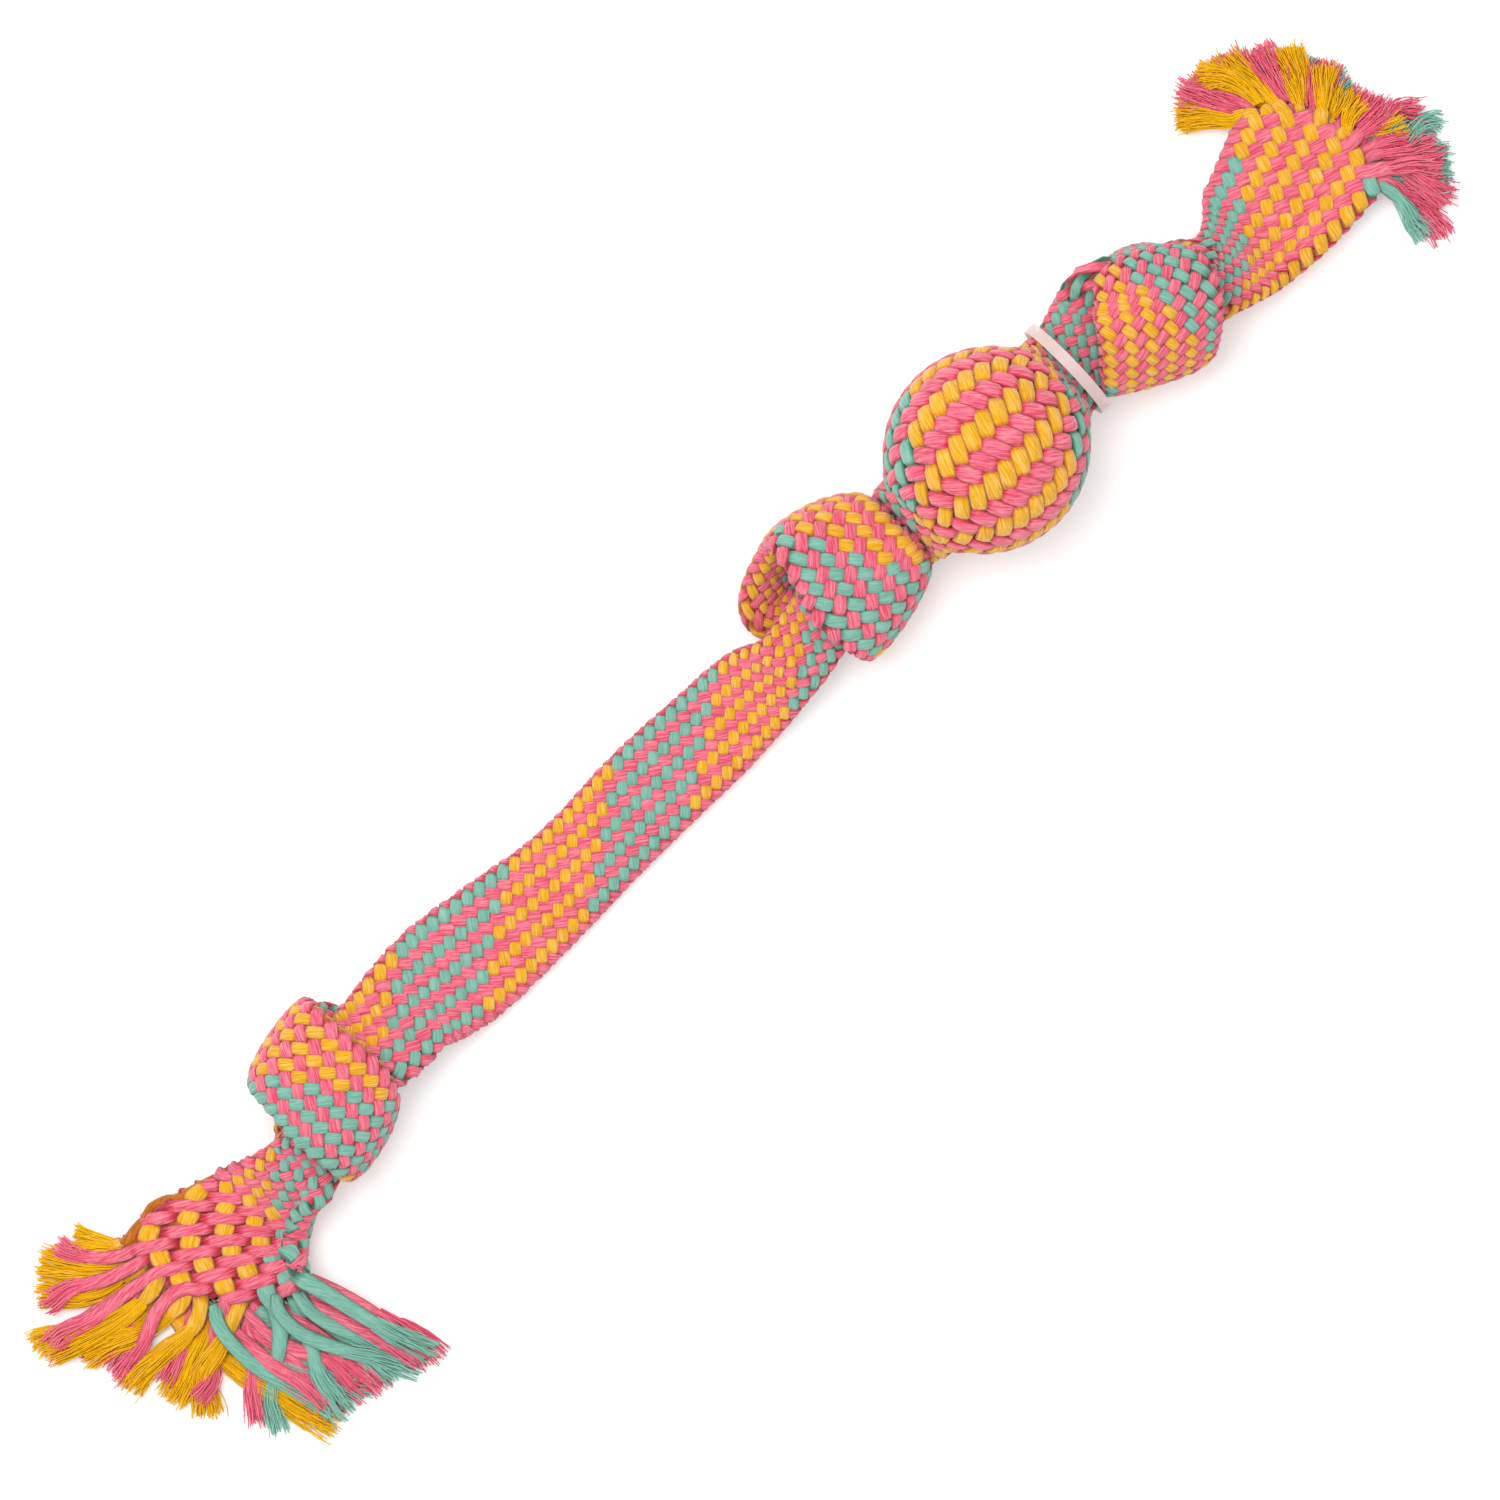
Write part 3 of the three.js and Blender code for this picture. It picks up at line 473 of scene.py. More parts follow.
def knot_sections(entry, leave, knot):
    """Sections of an overhand knot between two mouths, each given as a section."""
    heading = math.atan2(leave[1] - entry[1], leave[0] - entry[0])
    ahead = np.array((math.cos(heading), math.sin(heading), 0.0))
    left = np.array((-ahead[1], ahead[0], 0.0))
    upward = np.array((0.0, 0.0, 1.0))
    centre = (entry[MIDDLE] + leave[MIDDLE]) / 2 + knot["shift"] * ahead + knot["offset"] * left
    centre[2] = KNOT_HEIGHT
    axes = np.array((ahead, left, upward))
    ends = [axes @ (mouth[MIDDLE] - centre) for mouth in (entry, leave)]
    halves = [half_knot(*(knot[size][k] for size in HALF_SIZES), knot["wrap_width"]) for k in (0, 1)]
    turns = halves[0] + [(-turn, -along, *rest) for turn, along, *rest in reversed(halves[1][:-1])]
    # Rows: place, way out to the side and up, half width, half thickness, edge curl, lean
    rows = []
    for k, (turn, along, radius, width, thickness, curl, lean) in enumerate(turns):
        rolled = min(max((NO_ROLL - abs(turn)) / (NO_ROLL - FULL_ROLL), 0), 1)
        angle = math.radians(turn + knot["roll"] * rolled)
        side = -math.sin(angle) * knot["hand"]
        rise = math.cos(angle)
        near = min(k, len(turns) - 1 - k)
        half = 0 if k < len(turns) / 2 else 1
        pull, sway = (shares[near] if near < len(shares) else 0 for shares in (MOUTH_PULL, MOUTH_SWAY))
        sideways = radius * side + pull * ends[half][1] + sway * knot["sway"][half]
        place = (along, sideways, radius * rise + pull * ends[half][2])
        rows.append((*place, side, rise, width / 2, thickness / 2, math.radians(curl), lean))

    def mouth_row(end, inward, width, thickness):
        return (end[0] + inward, end[1], end[2], 0, 1, width, thickness, 0, 0)

    def lead_width(mouth, throat):
        return (2 * mouth[HALF_WIDTH] + throat[0] / 2) / 3

    first_lead, last_lead = (lead_width(m, t) for m, t in zip((entry, leave), knot["throat"]))
    rows = [
        mouth_row(ends[0], 0, entry[HALF_WIDTH], entry[HALF_THICK]),
        mouth_row(ends[0], KNOT_LEAD, first_lead, entry[HALF_THICK]),
        *rows,
        mouth_row(ends[1], -KNOT_LEAD, last_lead, leave[HALF_THICK]),
        mouth_row(ends[1], 0, leave[HALF_WIDTH], leave[HALF_THICK]),
    ]
    at = row_numbers(rows, ROUTE_STEPS)
    last = len(rows) - 1
    row = spline_rows(rows, at)
    onward, back = np.minimum(at + ROW_NUDGE, last), np.maximum(at - ROW_NUDGE, 0)
    step = spline_rows(rows, onward) - spline_rows(rows, back)
    own = np.minimum(np.minimum(at, last - at), MOUTH_ROWS)[:, None] / MOUTH_ROWS
    along = unit(own * unit(step[:, :3] @ axes) + (1 - own) * ahead)
    up = row[:, 3:4] * left + row[:, 4:5] * upward + row[:, 8:9] * ahead
    up = unit(up - np.sum(up * along, axis=1, keepdims=True) * along)
    side = np.cross(up, along)
    squareness = np.full(len(at), KNOT_SQUARENESS)
    no_roll = np.zeros(len(at))
    return np.column_stack((row[:, :3] @ axes + centre, side, up, row[:, 5:8], squareness, no_roll))


def ball_sections():
    """Sections of the opened braid over the ball, from neck to neck."""
    shoulder = SHOULDER_SHARE * BALL_RADIUS
    rows = []
    for i in range(-BALL_ROWS, BALL_ROWS + 1):
        away = shoulder * math.sin(math.pi / (2 * BALL_ROWS) * i)
        size = 2 * math.sqrt(BALL_RADIUS**2 - away**2)
        rows.append((BALL_X + away, BALL_SIDE, BALL_RADIUS, 0, size, size))
    reach = shoulder + THROAT_SHARE * (BALL_REACH - shoulder)
    throat_size = [share * size for share, size in zip(THROAT_SIZE, NECK)]
    throat_z = (NECK_HEIGHT + BALL_RADIUS) / 2
    for neck, sign, heading in ((NECK_1, -1, KNOT_2_HEADING), (NECK_2, 1, KNOT_3_HEADING)):
        throat = (BALL_X + sign * reach, (neck[1] + BALL_SIDE) / 2, throat_z, 0, *throat_size)
        mouth = (*neck, NECK_HEIGHT, heading, *NECK)
        rows = [mouth, throat, *rows] if sign < 0 else [*rows, throat, mouth]
    return route_sections(rows, BALL_SQUARENESS, BALL_STEPS)


# Braid


class Braid:
    """The rope as one row of sections, and the strands that run over them."""

    def __init__(self, count, fill, half_thick, proud):
        self.count = count
        self.fill = fill
        self.half_thick = half_thick
        self.proud = proud
        self.lay_rope()
        self.lay_surface()
        self.lay_strands()
        self.lay_ends("lower" if count == STRANDS else "upper")

    def lay_rope(self):
        """Joins the stretches from the lower rim to the upper rim and spaces the sections evenly."""
        lower = route_sections(LOWER_END, TAPE_SQUARENESS, ROUTE_STEPS)
        upper = route_sections(UPPER_END, TAPE_SQUARENESS, ROUTE_STEPS)[::-1]
        flat = flat_sections()
        ball = ball_sections()
        lower = np.vstack((self.beyond(lower[0], -LOWER_BULGE), lower))
        upper = np.vstack((upper, self.beyond(upper[-1], UPPER_BULGE)))
        flare_split = 2 * ROUTE_STEPS + RIM_STEPS
        tail_split = len(upper) - flare_split
        stretches = [
            ("lower_flare", lower[:flare_split]),
            ("lower_tail", lower[flare_split:]),
            ("knot_1", knot_sections(lower[-1], flat[0], KNOT_1)),
            ("flat", flat),
            ("knot_2", knot_sections(flat[-1], ball[0], KNOT_2)),
            ("ball", ball),
            ("knot_3", knot_sections(ball[-1], upper[0], KNOT_3)),
            ("upper_tail", upper[:tail_split]),
            ("upper_flare", upper[tail_split:]),
        ]
        rows = np.vstack([sections for _, sections in stretches])
        names = np.concatenate([[name] * len(sections) for name, sections in stretches])
        steps = np.linalg.norm(np.diff(rows[:, MIDDLE], axis=0), axis=1)
        keep = np.concatenate(([True], steps > 1e-6))
        rows, names = rows[keep], names[keep]
        place = run_along(rows[:, MIDDLE])
        count = int(round(place[-1] / STATION_STEP)) + 1
        self.place = np.linspace(0, place[-1], count)
        self.rows = np.column_stack([np.interp(self.place, place, column) for column in rows.T])
        self.span = {name: (place[names == name].min(), place[names == name].max()) for name, _ in stretches}
        self.smooth()
        self.lead = self.eased(LEADS)
        self.hem = self.lay_hem()
        self.width_share = self.eased(BALL_WIDTHS, 1.0)
        self.turn = np.concatenate(([0], np.cumsum((self.place[1] - self.place[0]) / self.lead[1:])))
        self.twist = self.lay_twist()

    def eased(self, values, rest=None):
        """Value at each station that is even along each stretch and eases from one stretch to the next."""
        shares = (EASE_SHARE, 1 - EASE_SHARE)
        marks = [low + share * (high - low) for low, high in self.span.values() for share in shares]
        pairs = [np.broadcast_to(values.get(name, rest), 2) for name in self.span]
        return np.interp(self.place, marks, np.concatenate(pairs))

    def lay_hem(self):
        """Share of a smooth hem at each station: over a knot's wrap, or nearly the whole of a stretch."""
        marks = []
        for name, (low, high) in self.span.items():
            value = HEMS.get(name, 0.0)
            inset = KNOT_HEM_INSET if name.startswith("knot") else HEM_INSET
            shares = (inset - HEM_EASE, inset, 1 - inset, 1 + HEM_EASE - inset)
            for share, hem in zip(shares, (0, value, value, 0)):
                marks.append((low + share * (high - low), hem))
        return np.interp(self.place, *zip(*marks))

    def beyond(self, section, reach):
        """Sections that carry a flare on past its widest place."""
        ahead = np.array((section[SIDE][1], -section[SIDE][0], 0.0))
        steps = np.linspace(1, 0, RIM_STEPS, endpoint=False)
        if reach > 0:
            steps = steps[::-1]
        rows = np.repeat(section[None], len(steps), axis=0)
        rows[:, MIDDLE] += steps[:, None] * reach * ahead
        return rows

    def smooth(self):
        """Eases the steps between one stretch and the next."""
        reach = EASE_STATIONS
        padded = np.vstack((self.rows[:1].repeat(reach, 0), self.rows, self.rows[-1:].repeat(reach, 0)))
        kernel = np.ones(2 * reach + 1) / (2 * reach + 1)
        shape = np.column_stack([np.convolve(column, kernel, "valid") for column in padded.T])
        self.rows[:, MIDDLE.stop :] = shape[:, MIDDLE.stop :]
        for axis in (SIDE, UP):
            self.rows[:, axis] = unit(self.rows[:, axis])

    def lay_twist(self):
        """Turn of the braid about its own line, which eases along the lower flare and at the mouth of the
        third knot, and otherwise changes inside the knots."""
        marks = [(0.0, TWISTS["lower_rim"]), (self.span["lower_flare"][1], TWISTS["lower"])]
        for before, mouth, knot, after in TWIST_ORDER:
            low, high = self.span[knot]
            length = high - low
            marks.append((low - TWIST_LEAD, TWISTS[before]))
            marks += [(low + share * length, TWISTS[mouth]) for share in TWIST_MOUTH]
            marks.append((low + TWIST_START * length, TWISTS[knot]))
            marks += [(high - share * length, TWISTS[name]) for share, name in zip(TWIST_END, (knot, after))]
        marks.append((self.place[-1], TWISTS["upper"]))
        return np.interp(self.place, *zip(*marks)) / STRANDS

    def ring(self, inset):
        """Points round every section, with its skin moved inwards, its sides curled and its edge rolled."""
        rows = self.rows
        angle = np.linspace(0, 2 * np.pi, RING_POINTS + 1)
        power = 2 / rows[:, [SQUARENESS]]
        half_width = rows[:, [HALF_WIDTH]]
        u = np.sign(np.cos(angle)) * np.abs(np.cos(angle)) ** power
        u = u * np.maximum(half_width - inset, LEAST_HALF_WIDTH)
        v = np.sign(np.sin(angle)) * np.abs(np.sin(angle)) ** power
        v = v * np.maximum(rows[:, [HALF_THICK]] - inset, LEAST_HALF_THICK)
        curl = np.where(np.abs(rows[:, [CURL]]) < STRAIGHT, STRAIGHT, rows[:, [CURL]])
        bend = half_width / curl
        turned = u / bend
        sideways = np.sin(turned) * (bend + v)
        upward = np.cos(turned) * (bend + v) - bend
        flat_part = ROLL_START * half_width
        roll = np.maximum(rows[:, [ROLL]], STRAIGHT)
        radius = (half_width - flat_part) / roll
        wound = np.maximum(-u - flat_part, 0) / radius
        rolled = (wound > 0) & (rows[:, [ROLL]] > LEAST_ROLL)
        sideways = np.where(rolled, -flat_part - (radius - v) * np.sin(wound), sideways)
        upward = np.where(rolled, radius - (radius - v) * np.cos(wound), upward)
        middle, side, up = (rows[:, None, part] for part in (MIDDLE, SIDE, UP))
        return middle + sideways[..., None] * side + upward[..., None] * up

    def lay_surface(self):
        """Grid of the braid's middle surface: stations along the rope by shares of the way round it."""
        outer = self.ring(0)
        self.girth = np.linalg.norm(np.diff(outer, axis=1), axis=2).sum(axis=1) - 2 * np.pi * GIRTH_DEPTH
        wide = self.girth * (1 + STEEPER)
        self.spacing = wide / self.count * np.cos(np.arctan(wide / self.lead))
        winding = np.gradient(self.twist, self.place)
        self.squeeze = {}
        for way in (1, -1):
            turned = np.cos(np.arctan(wide * np.abs(way / self.lead + winding)))
            self.squeeze[way] = np.clip(wide / self.count * turned / self.spacing, *SQUEEZE)
        self.thick = np.clip(THICK_SHARE * self.spacing, LEAST_THICK, self.half_thick)
        self.lift = LIFT_SHARE * self.thick
        middle = self.ring((self.lift + self.thick - self.proud)[:, None])
        self.grid = np.empty((len(self.rows), GRID_POINTS + 1, 3))
        for k, points in enumerate(middle):
            run = run_along(points)
            at = np.linspace(0, run[-1], GRID_POINTS + 1)
            for axis in range(3):
                self.grid[k, :, axis] = np.interp(at, run, points[:, axis])
        around_step = np.roll(self.grid[:, :-1], -1, axis=1) - np.roll(self.grid[:, :-1], 1, axis=1)
        along_step = np.gradient(self.grid[:, :-1], axis=0)
        normal = unit(np.cross(around_step, along_step))
        outward = unit(self.grid[:, :-1] - self.rows[:, None, MIDDLE])
        facing = np.sign(np.median(np.sum(normal * outward, axis=2)))
        normal *= facing
        self.normal = np.concatenate((normal, normal[:, :1]), axis=1)

    def on_surface(self, field, turn):
        """Value of a grid at one share of the way round for each station."""
        at = np.mod(turn, 1) * (field.shape[1] - 1)
        i = np.clip(np.floor(at).astype(int), 0, field.shape[1] - 2)
        f = (at - i)[:, None]
        k = np.arange(len(turn))
        return field[k, i] * (1 - f) + field[k, i + 1] * f

    def lay_strands(self):
        """Middle line and half-size vectors of every strand. The first half run one way and are pink; the
        others run back, half of them yellow and half teal."""
        self.strands = []
        rows, count = self.rows, self.count
        for i in range(2 * count):
            way = 1 if i < count else -1
            even = (i % count) / count + way * self.turn
            phase = np.pi * count * even - np.pi / 4
            own = even + way * STEEPER / (np.pi * count) * np.sin(phase)
            turn = own + self.twist
            over = way * np.cos(np.pi * count * own - np.pi / 4)
            rise = np.tanh(CROWN * over) / np.tanh(CROWN)
            normal = unit(self.on_surface(self.normal, turn))
            point = self.on_surface(self.grid, turn)
            edge = np.sum((point - rows[:, MIDDLE]) * rows[:, SIDE], axis=1) / rows[:, HALF_WIDTH]
            hem = np.abs(self.hem) * np.clip(np.sign(self.hem) * edge, 0, 1) ** HEM_POWER
            rise = (1 - hem) * rise + hem * HEM_RISE[way]
            half_width = self.spacing * self.squeeze[way] * self.fill / 2 * self.width_share
            half_width = half_width * (1 - SWELL + SWELL * rise)
            if way > 0:
                half_width = half_width * (1 + HEM_WIDER * hem)
            point = point + (rise * self.lift * (1 - EDGE_CALM * edge**EDGE_POWER))[:, None] * normal
            along = unit(np.gradient(point, axis=0))
            normal = unit(normal - np.sum(normal * along, axis=1, keepdims=True) * along)
            across = np.cross(normal, along) * half_width[:, None]
            above = normal * self.thick[:, None]
            low = np.abs(across[:, 2]) + np.abs(above[:, 2]) + FLOOR_GAP
            point[:, 2] = np.maximum(point[:, 2], low)
            colour = "pink" if way > 0 else ("yellow" if i % count < count // 2 else "teal")
            strand = {"colour": colour, "turn": turn, "first": 0, "last": len(turn) - 1}
            strand.update({"point": point, "across": across, "above": above})
            strand.update({"run": run_along(point), "rise": rise})
            self.strands.append(strand)

    def lay_ends(self, end):
        """Where each strand leaves the braid at one rim, and the path of its loose end from there."""
        chance = np.random.default_rng(SEED)
        bulge, tips = (LOWER_BULGE, LOWER_TIPS) if end == "lower" else (UPPER_BULGE, UPPER_TIPS)
        past = bulge - (self.place if end == "lower" else self.place[-1] - self.place)
        for strand in self.strands:
            across = np.cos(2 * np.pi * strand["turn"])
            inside = past <= bulge * np.sqrt(np.clip(1 - across**2, 0, 1))
            if end == "lower":
                rim = strand["first"] = int(np.argmax(inside))
                outward = strand["point"][rim] - strand["point"][rim + 2]
            else:
                rim = strand["last"] = len(inside) - 1 - int(np.argmax(inside[::-1]))
                outward = strand["point"][rim] - strand["point"][rim - 2]
            under = np.mod(strand["turn"][rim], 1) - 0.5
            if end == "lower" and 0 < under < UNDERSIDE:
                across[rim] = np.cos(np.pi * (1 + UNDERSIDE_REACH * under))
            sizes = LOOSE[end][strand["colour"]]
            strand[end] = self.loose_end(strand, rim, unit(outward), across[rim], tips, sizes, chance)
        loose = [strand[end] for strand in self.strands]
        self.settle(loose)
        for path in loose:
            self.frame_end(path)

    def loose_end(self, strand, rim, outward, across, tips, sizes, chance):
        """Path of a loose end from the rim to its tip, with half its width and thickness."""
        tips = np.asarray(tips, float)
        order = (np.degrees(np.arcsin(np.clip(across, -1, 1))) / RIM_SPREAD + 1) / 2 * (len(tips) - 1)
        order = np.clip(order + chance.normal(0, TIP_STRAY), 0, len(tips) - 1)
        middle = self.rows[rim, :2]
        tip = np.array([np.interp(order, np.arange(len(tips)), column) for column in tips.T])
        tip = middle + (tip - middle) * chance.uniform(*TIP_REACH)
        start = strand["point"][rim]
        on_top = start[2] > self.rows[rim, 2]
        finish = np.array((*tip, chance.uniform(*(TOP_TIP if on_top else LOW_TIP))))
        length = np.linalg.norm(finish - start)
        reach = np.array((*unit(tip - middle), 0.0))
        level = (1, 1, 0)
        first = start + (outward + chance.normal(0, RIM_WANDER, 3) * level) * RIM_PULL * length
        first[2] = max(first[2], finish[2])
        second = finish - unit(reach + chance.normal(0, TIP_WANDER, 3) * level) * TIP_PULL * length
        second[2] = finish[2] + 1
        t = np.linspace(0, 1, LOOSE_STEPS)[:, None]
        point = (1 - t) ** 3 * start + 3 * t * (1 - t) ** 2 * first
        point = point + 3 * t * t * (1 - t) * second + t**3 * finish
        ease = smoothstep(t * 2)
        half_width = (1 - ease) * np.linalg.norm(strand["across"][rim]) + ease * sizes.half_width
        half_thick = (1 - ease) * np.linalg.norm(strand["above"][rim]) + ease * sizes.half_thick
        return {"point": point, "half_width": half_width, "half_thick": half_thick}

    def settle(self, loose):
        """Presses loose ends apart where they cross, so that they lie over and beside each other."""
        point = np.array([path["point"] for path in loose])
        flat = np.array([path["half_thick"][:, 0] for path in loose])
        reach = KEEP_SHARE * flat + KEEP_SHARE * np.array([path["half_width"][:, 0] for path in loose])
        free = np.clip((np.arange(LOOSE_STEPS) - 1) / FREE_STEPS, 0, 1)[:, None]
        own = np.repeat(np.arange(len(loose)), LOOSE_STEPS)
        apart = own[:, None] != own[None]
        room = reach.ravel()[:, None] + reach.ravel()[None]
        for _ in range(SETTLE_ROUNDS):
            spots = point.reshape(-1, 3)
            gap = spots[:, None] - spots[None]
            gap[..., 2] *= HEIGHT_WEIGHT
            distance = np.linalg.norm(gap, axis=2)
            press = np.where(apart & (distance < room), room - distance, 0)
            push = np.sum(press[..., None] * gap / np.maximum(distance, LEAST_DISTANCE)[..., None], axis=1)
            push /= np.maximum(np.sum(press > 0, axis=1), 1)[:, None]
            point = point + PRESS_SHARE * free * push.reshape(point.shape)
            eased = (point[:, :-2] + point[:, 2:]) / 2
            point[:, 1:-1] += SMOOTH_SHARE * free[1:-1] * (eased - point[:, 1:-1])
            point[..., 2] -= SINK * free[:, 0]
            point[..., 2] = np.maximum(point[..., 2], flat + LIE_GAP)
        for path, settled in zip(loose, point):
            path["point"] = settled

    def frame_end(self, path):
        """Adds the half-size vectors of a settled loose end and the way along it."""
        point = path["point"]
        along = unit(np.gradient(point, axis=0))
        side = unit(np.cross(np.array((0.0, 0.0, 1.0)), along))
        path["across"] = side * path["half_width"]
        path["above"] = np.cross(along, side) * path["half_thick"]
        path["run"] = run_along(point)
        path["rise"] = np.ones(len(point))

    def station(self, place):
        return int(np.argmin(np.abs(self.place - place)))

    def flat_station(self, x):
        low, high = (self.station(p) for p in self.span["flat"])
        return low + int(np.argmin(np.abs(self.rows[low : high + 1, 0] - x)))

    def inside(self, stretch, reach):
        """Stations a distance inside the two ends of a stretch."""
        low, high = self.span[stretch]
        return self.station(low + reach), self.station(high - reach)

    def halfway(self, stretch):
        return self.station(sum(self.span[stretch]) / 2)


@functools.lru_cache(maxsize=2)
def laid_braid(count, fill, half_thick, proud):
    return Braid(count, fill, half_thick, proud)


def braid_of(context, count=STRANDS):
    sizes = context.scene.rope_toy
    return laid_braid(count, sizes.fill, sizes.half_thick, sizes.proud)


# Node trees


def wire(tree, node, inputs):
    """Sets or links the inputs of a node, which are given by name or by number."""
    named = {socket.name: socket for socket in node.inputs if socket.enabled}
    for key, value in inputs.items():
        socket = node.inputs[key] if isinstance(key, int) else named[key]
        if isinstance(value, bpy.types.NodeSocket):
            tree.links.new(value, socket)
        else:
            socket.default_value = value


def add_node(tree, kind, inputs=None, **choices):
    """Adds a node, makes its choices, and sets or links its inputs."""
    node = tree.nodes.new(kind)
    for name, choice in choices.items():
        setattr(node, name, choice)
    wire(tree, node, inputs or {})
    return node


def scalar_math(tree, operation, *values):
    return add_node(tree, "ShaderNodeMath", dict(enumerate(values)), operation=operation).outputs["Value"]


def vector_math(tree, operation, first, second):
    inputs = {0: first, "Scale" if operation == "SCALE" else 1: second}
    return add_node(tree, "ShaderNodeVectorMath", inputs, operation=operation).outputs["Vector"]


def split_vector(tree, vector):
    return add_node(tree, "ShaderNodeSeparateXYZ", {"Vector": vector}).outputs


def map_range(tree, value, limits, to_limits):
    inputs = {"Value": value, "From Min": limits[0], "From Max": limits[1]}
    inputs.update({"To Min": to_limits[0], "To Max": to_limits[1]})
    return add_node(tree, "ShaderNodeMapRange", inputs).outputs["Result"]


def new_tree(name, inputs, output):
    tree = bpy.data.node_groups.new(name, "GeometryNodeTree")
    for label, kind, default in inputs:
        socket = tree.interface.new_socket(label, in_out="INPUT", socket_type=kind)
        if default is not None:
            socket.default_value = default
    tree.interface.new_socket(output, in_out="OUTPUT", socket_type="NodeSocketGeometry")
    return tree, tree.nodes.new("NodeGroupInput").outputs, tree.nodes.new("NodeGroupOutput").inputs


def finish_tree(tree, geometry, material, result):
    """Smooth shading, Realize Instances and Set Material, which end every tree here."""
    for kind in ("GeometryNodeSetShadeSmooth", "GeometryNodeRealizeInstances"):
        geometry = add_node(tree, kind, {"Geometry": geometry}).outputs["Geometry"]
    paint = add_node(tree, "GeometryNodeSetMaterial", {"Geometry": geometry, "Material": material})
    tree.links.new(paint.outputs["Geometry"], result)


def path_vector(tree, name):
    """Named vector of a path's points."""
    node = add_node(tree, "GeometryNodeInputNamedAttribute", {"Name": name}, data_type="FLOAT_VECTOR")
    return node.outputs["Attribute"]


def position(tree):
    return add_node(tree, "GeometryNodeInputPosition").outputs["Position"]


def store(tree, geometry, name, value, kind):
    """Keeps a value on the points of a geometry under a name."""
    inputs = {"Geometry": geometry, "Name": name, "Value": value}
    node = add_node(tree, "GeometryNodeStoreNamedAttribute", inputs, data_type=kind, domain="POINT")
    return node.outputs["Geometry"]


def move(tree, geometry, **inputs):
    node = add_node(tree, "GeometryNodeSetPosition", {"Geometry": geometry, **inputs})
    return node.outputs["Geometry"]


def skin(tree, curve, profile):
    """Closed skin of a profile along every curve."""
    inputs = {"Curve": curve, "Profile Curve": profile, "Fill Caps": True}
    return add_node(tree, "GeometryNodeCurveToMesh", inputs).outputs["Mesh"]


def circle(tree, radius, sides):
    inputs = {"Radius": radius, "Resolution": sides}
    return add_node(tree, "GeometryNodeCurvePrimitiveCircle", inputs).outputs["Curve"]


def ring_profile(tree, sides):
    """Unit circle whose points remember their place on it, pushed out towards a square."""
    place = position(tree)
    split = split_vector(tree, place)
    corner = scalar_math(tree, "ABSOLUTE", scalar_math(tree, "MULTIPLY", split["X"], split["Y"]))
    corner = scalar_math(tree, "MULTIPLY", corner, 2 * SQUARE_CORNERS)
    square = vector_math(tree, "SCALE", place, scalar_math(tree, "ADD", corner, 1.0))
    return store(tree, circle(tree, 1.0, sides), "ring", square, "FLOAT_VECTOR")


@functools.lru_cache(maxsize=1)
def strand_tree():
    """Sweeps a strand along each path: at each point, a ring of the path's own two half-size vectors."""
    inputs = (
        ("Paths", "NodeSocketGeometry", None),
        ("Sides", "NodeSocketInt", 8),
        ("Material", "NodeSocketMaterial", None),
    )
    tree, given, result = new_tree("strand_sweep", inputs, "Strands")
    curve = add_node(tree, "GeometryNodeMeshToCurve", {"Mesh": given["Paths"]}).outputs["Curve"]
    strand = skin(tree, curve, ring_profile(tree, given["Sides"]))
    split = split_vector(tree, path_vector(tree, "ring"))
    sideways = vector_math(tree, "SCALE", path_vector(tree, "across"), split["X"])
    upward = vector_math(tree, "SCALE", path_vector(tree, "above"), split["Y"])
    place = vector_math(tree, "ADD", path_vector(tree, "middle"), vector_math(tree, "ADD", sideways, upward))
    finish_tree(tree, move(tree, strand, Position=place), given["Material"], result[0])
    return tree


def per_path(tree, high, seed):
    """One random number from zero up for each path of a set of curves."""
    inputs = {"Min": 0.0, "Max": high, "Seed": seed}
    number = add_node(tree, "FunctionNodeRandomValue", inputs, data_type="FLOAT")
    value = next(socket for socket in number.outputs if socket.enabled)
    spread = add_node(tree, "GeometryNodeFieldOnDomain", {"Value": value}, domain="CURVE", data_type="FLOAT")
    return spread.outputs["Value"]


# Fibres: share of a strand's half sizes that they fill where they start, size of their waves, how far apart
# the waves of two fibres lie, how much a wave grows towards the tip, and facets round a fibre
FIBRE_CORE = 0.6
WAVE_NOISE = {"Scale": 60.0, "Detail": 1.0}
WAVE_APART = 40.0
WAVE_GROWTH = 4.0
FIBRE_SIDES = 3


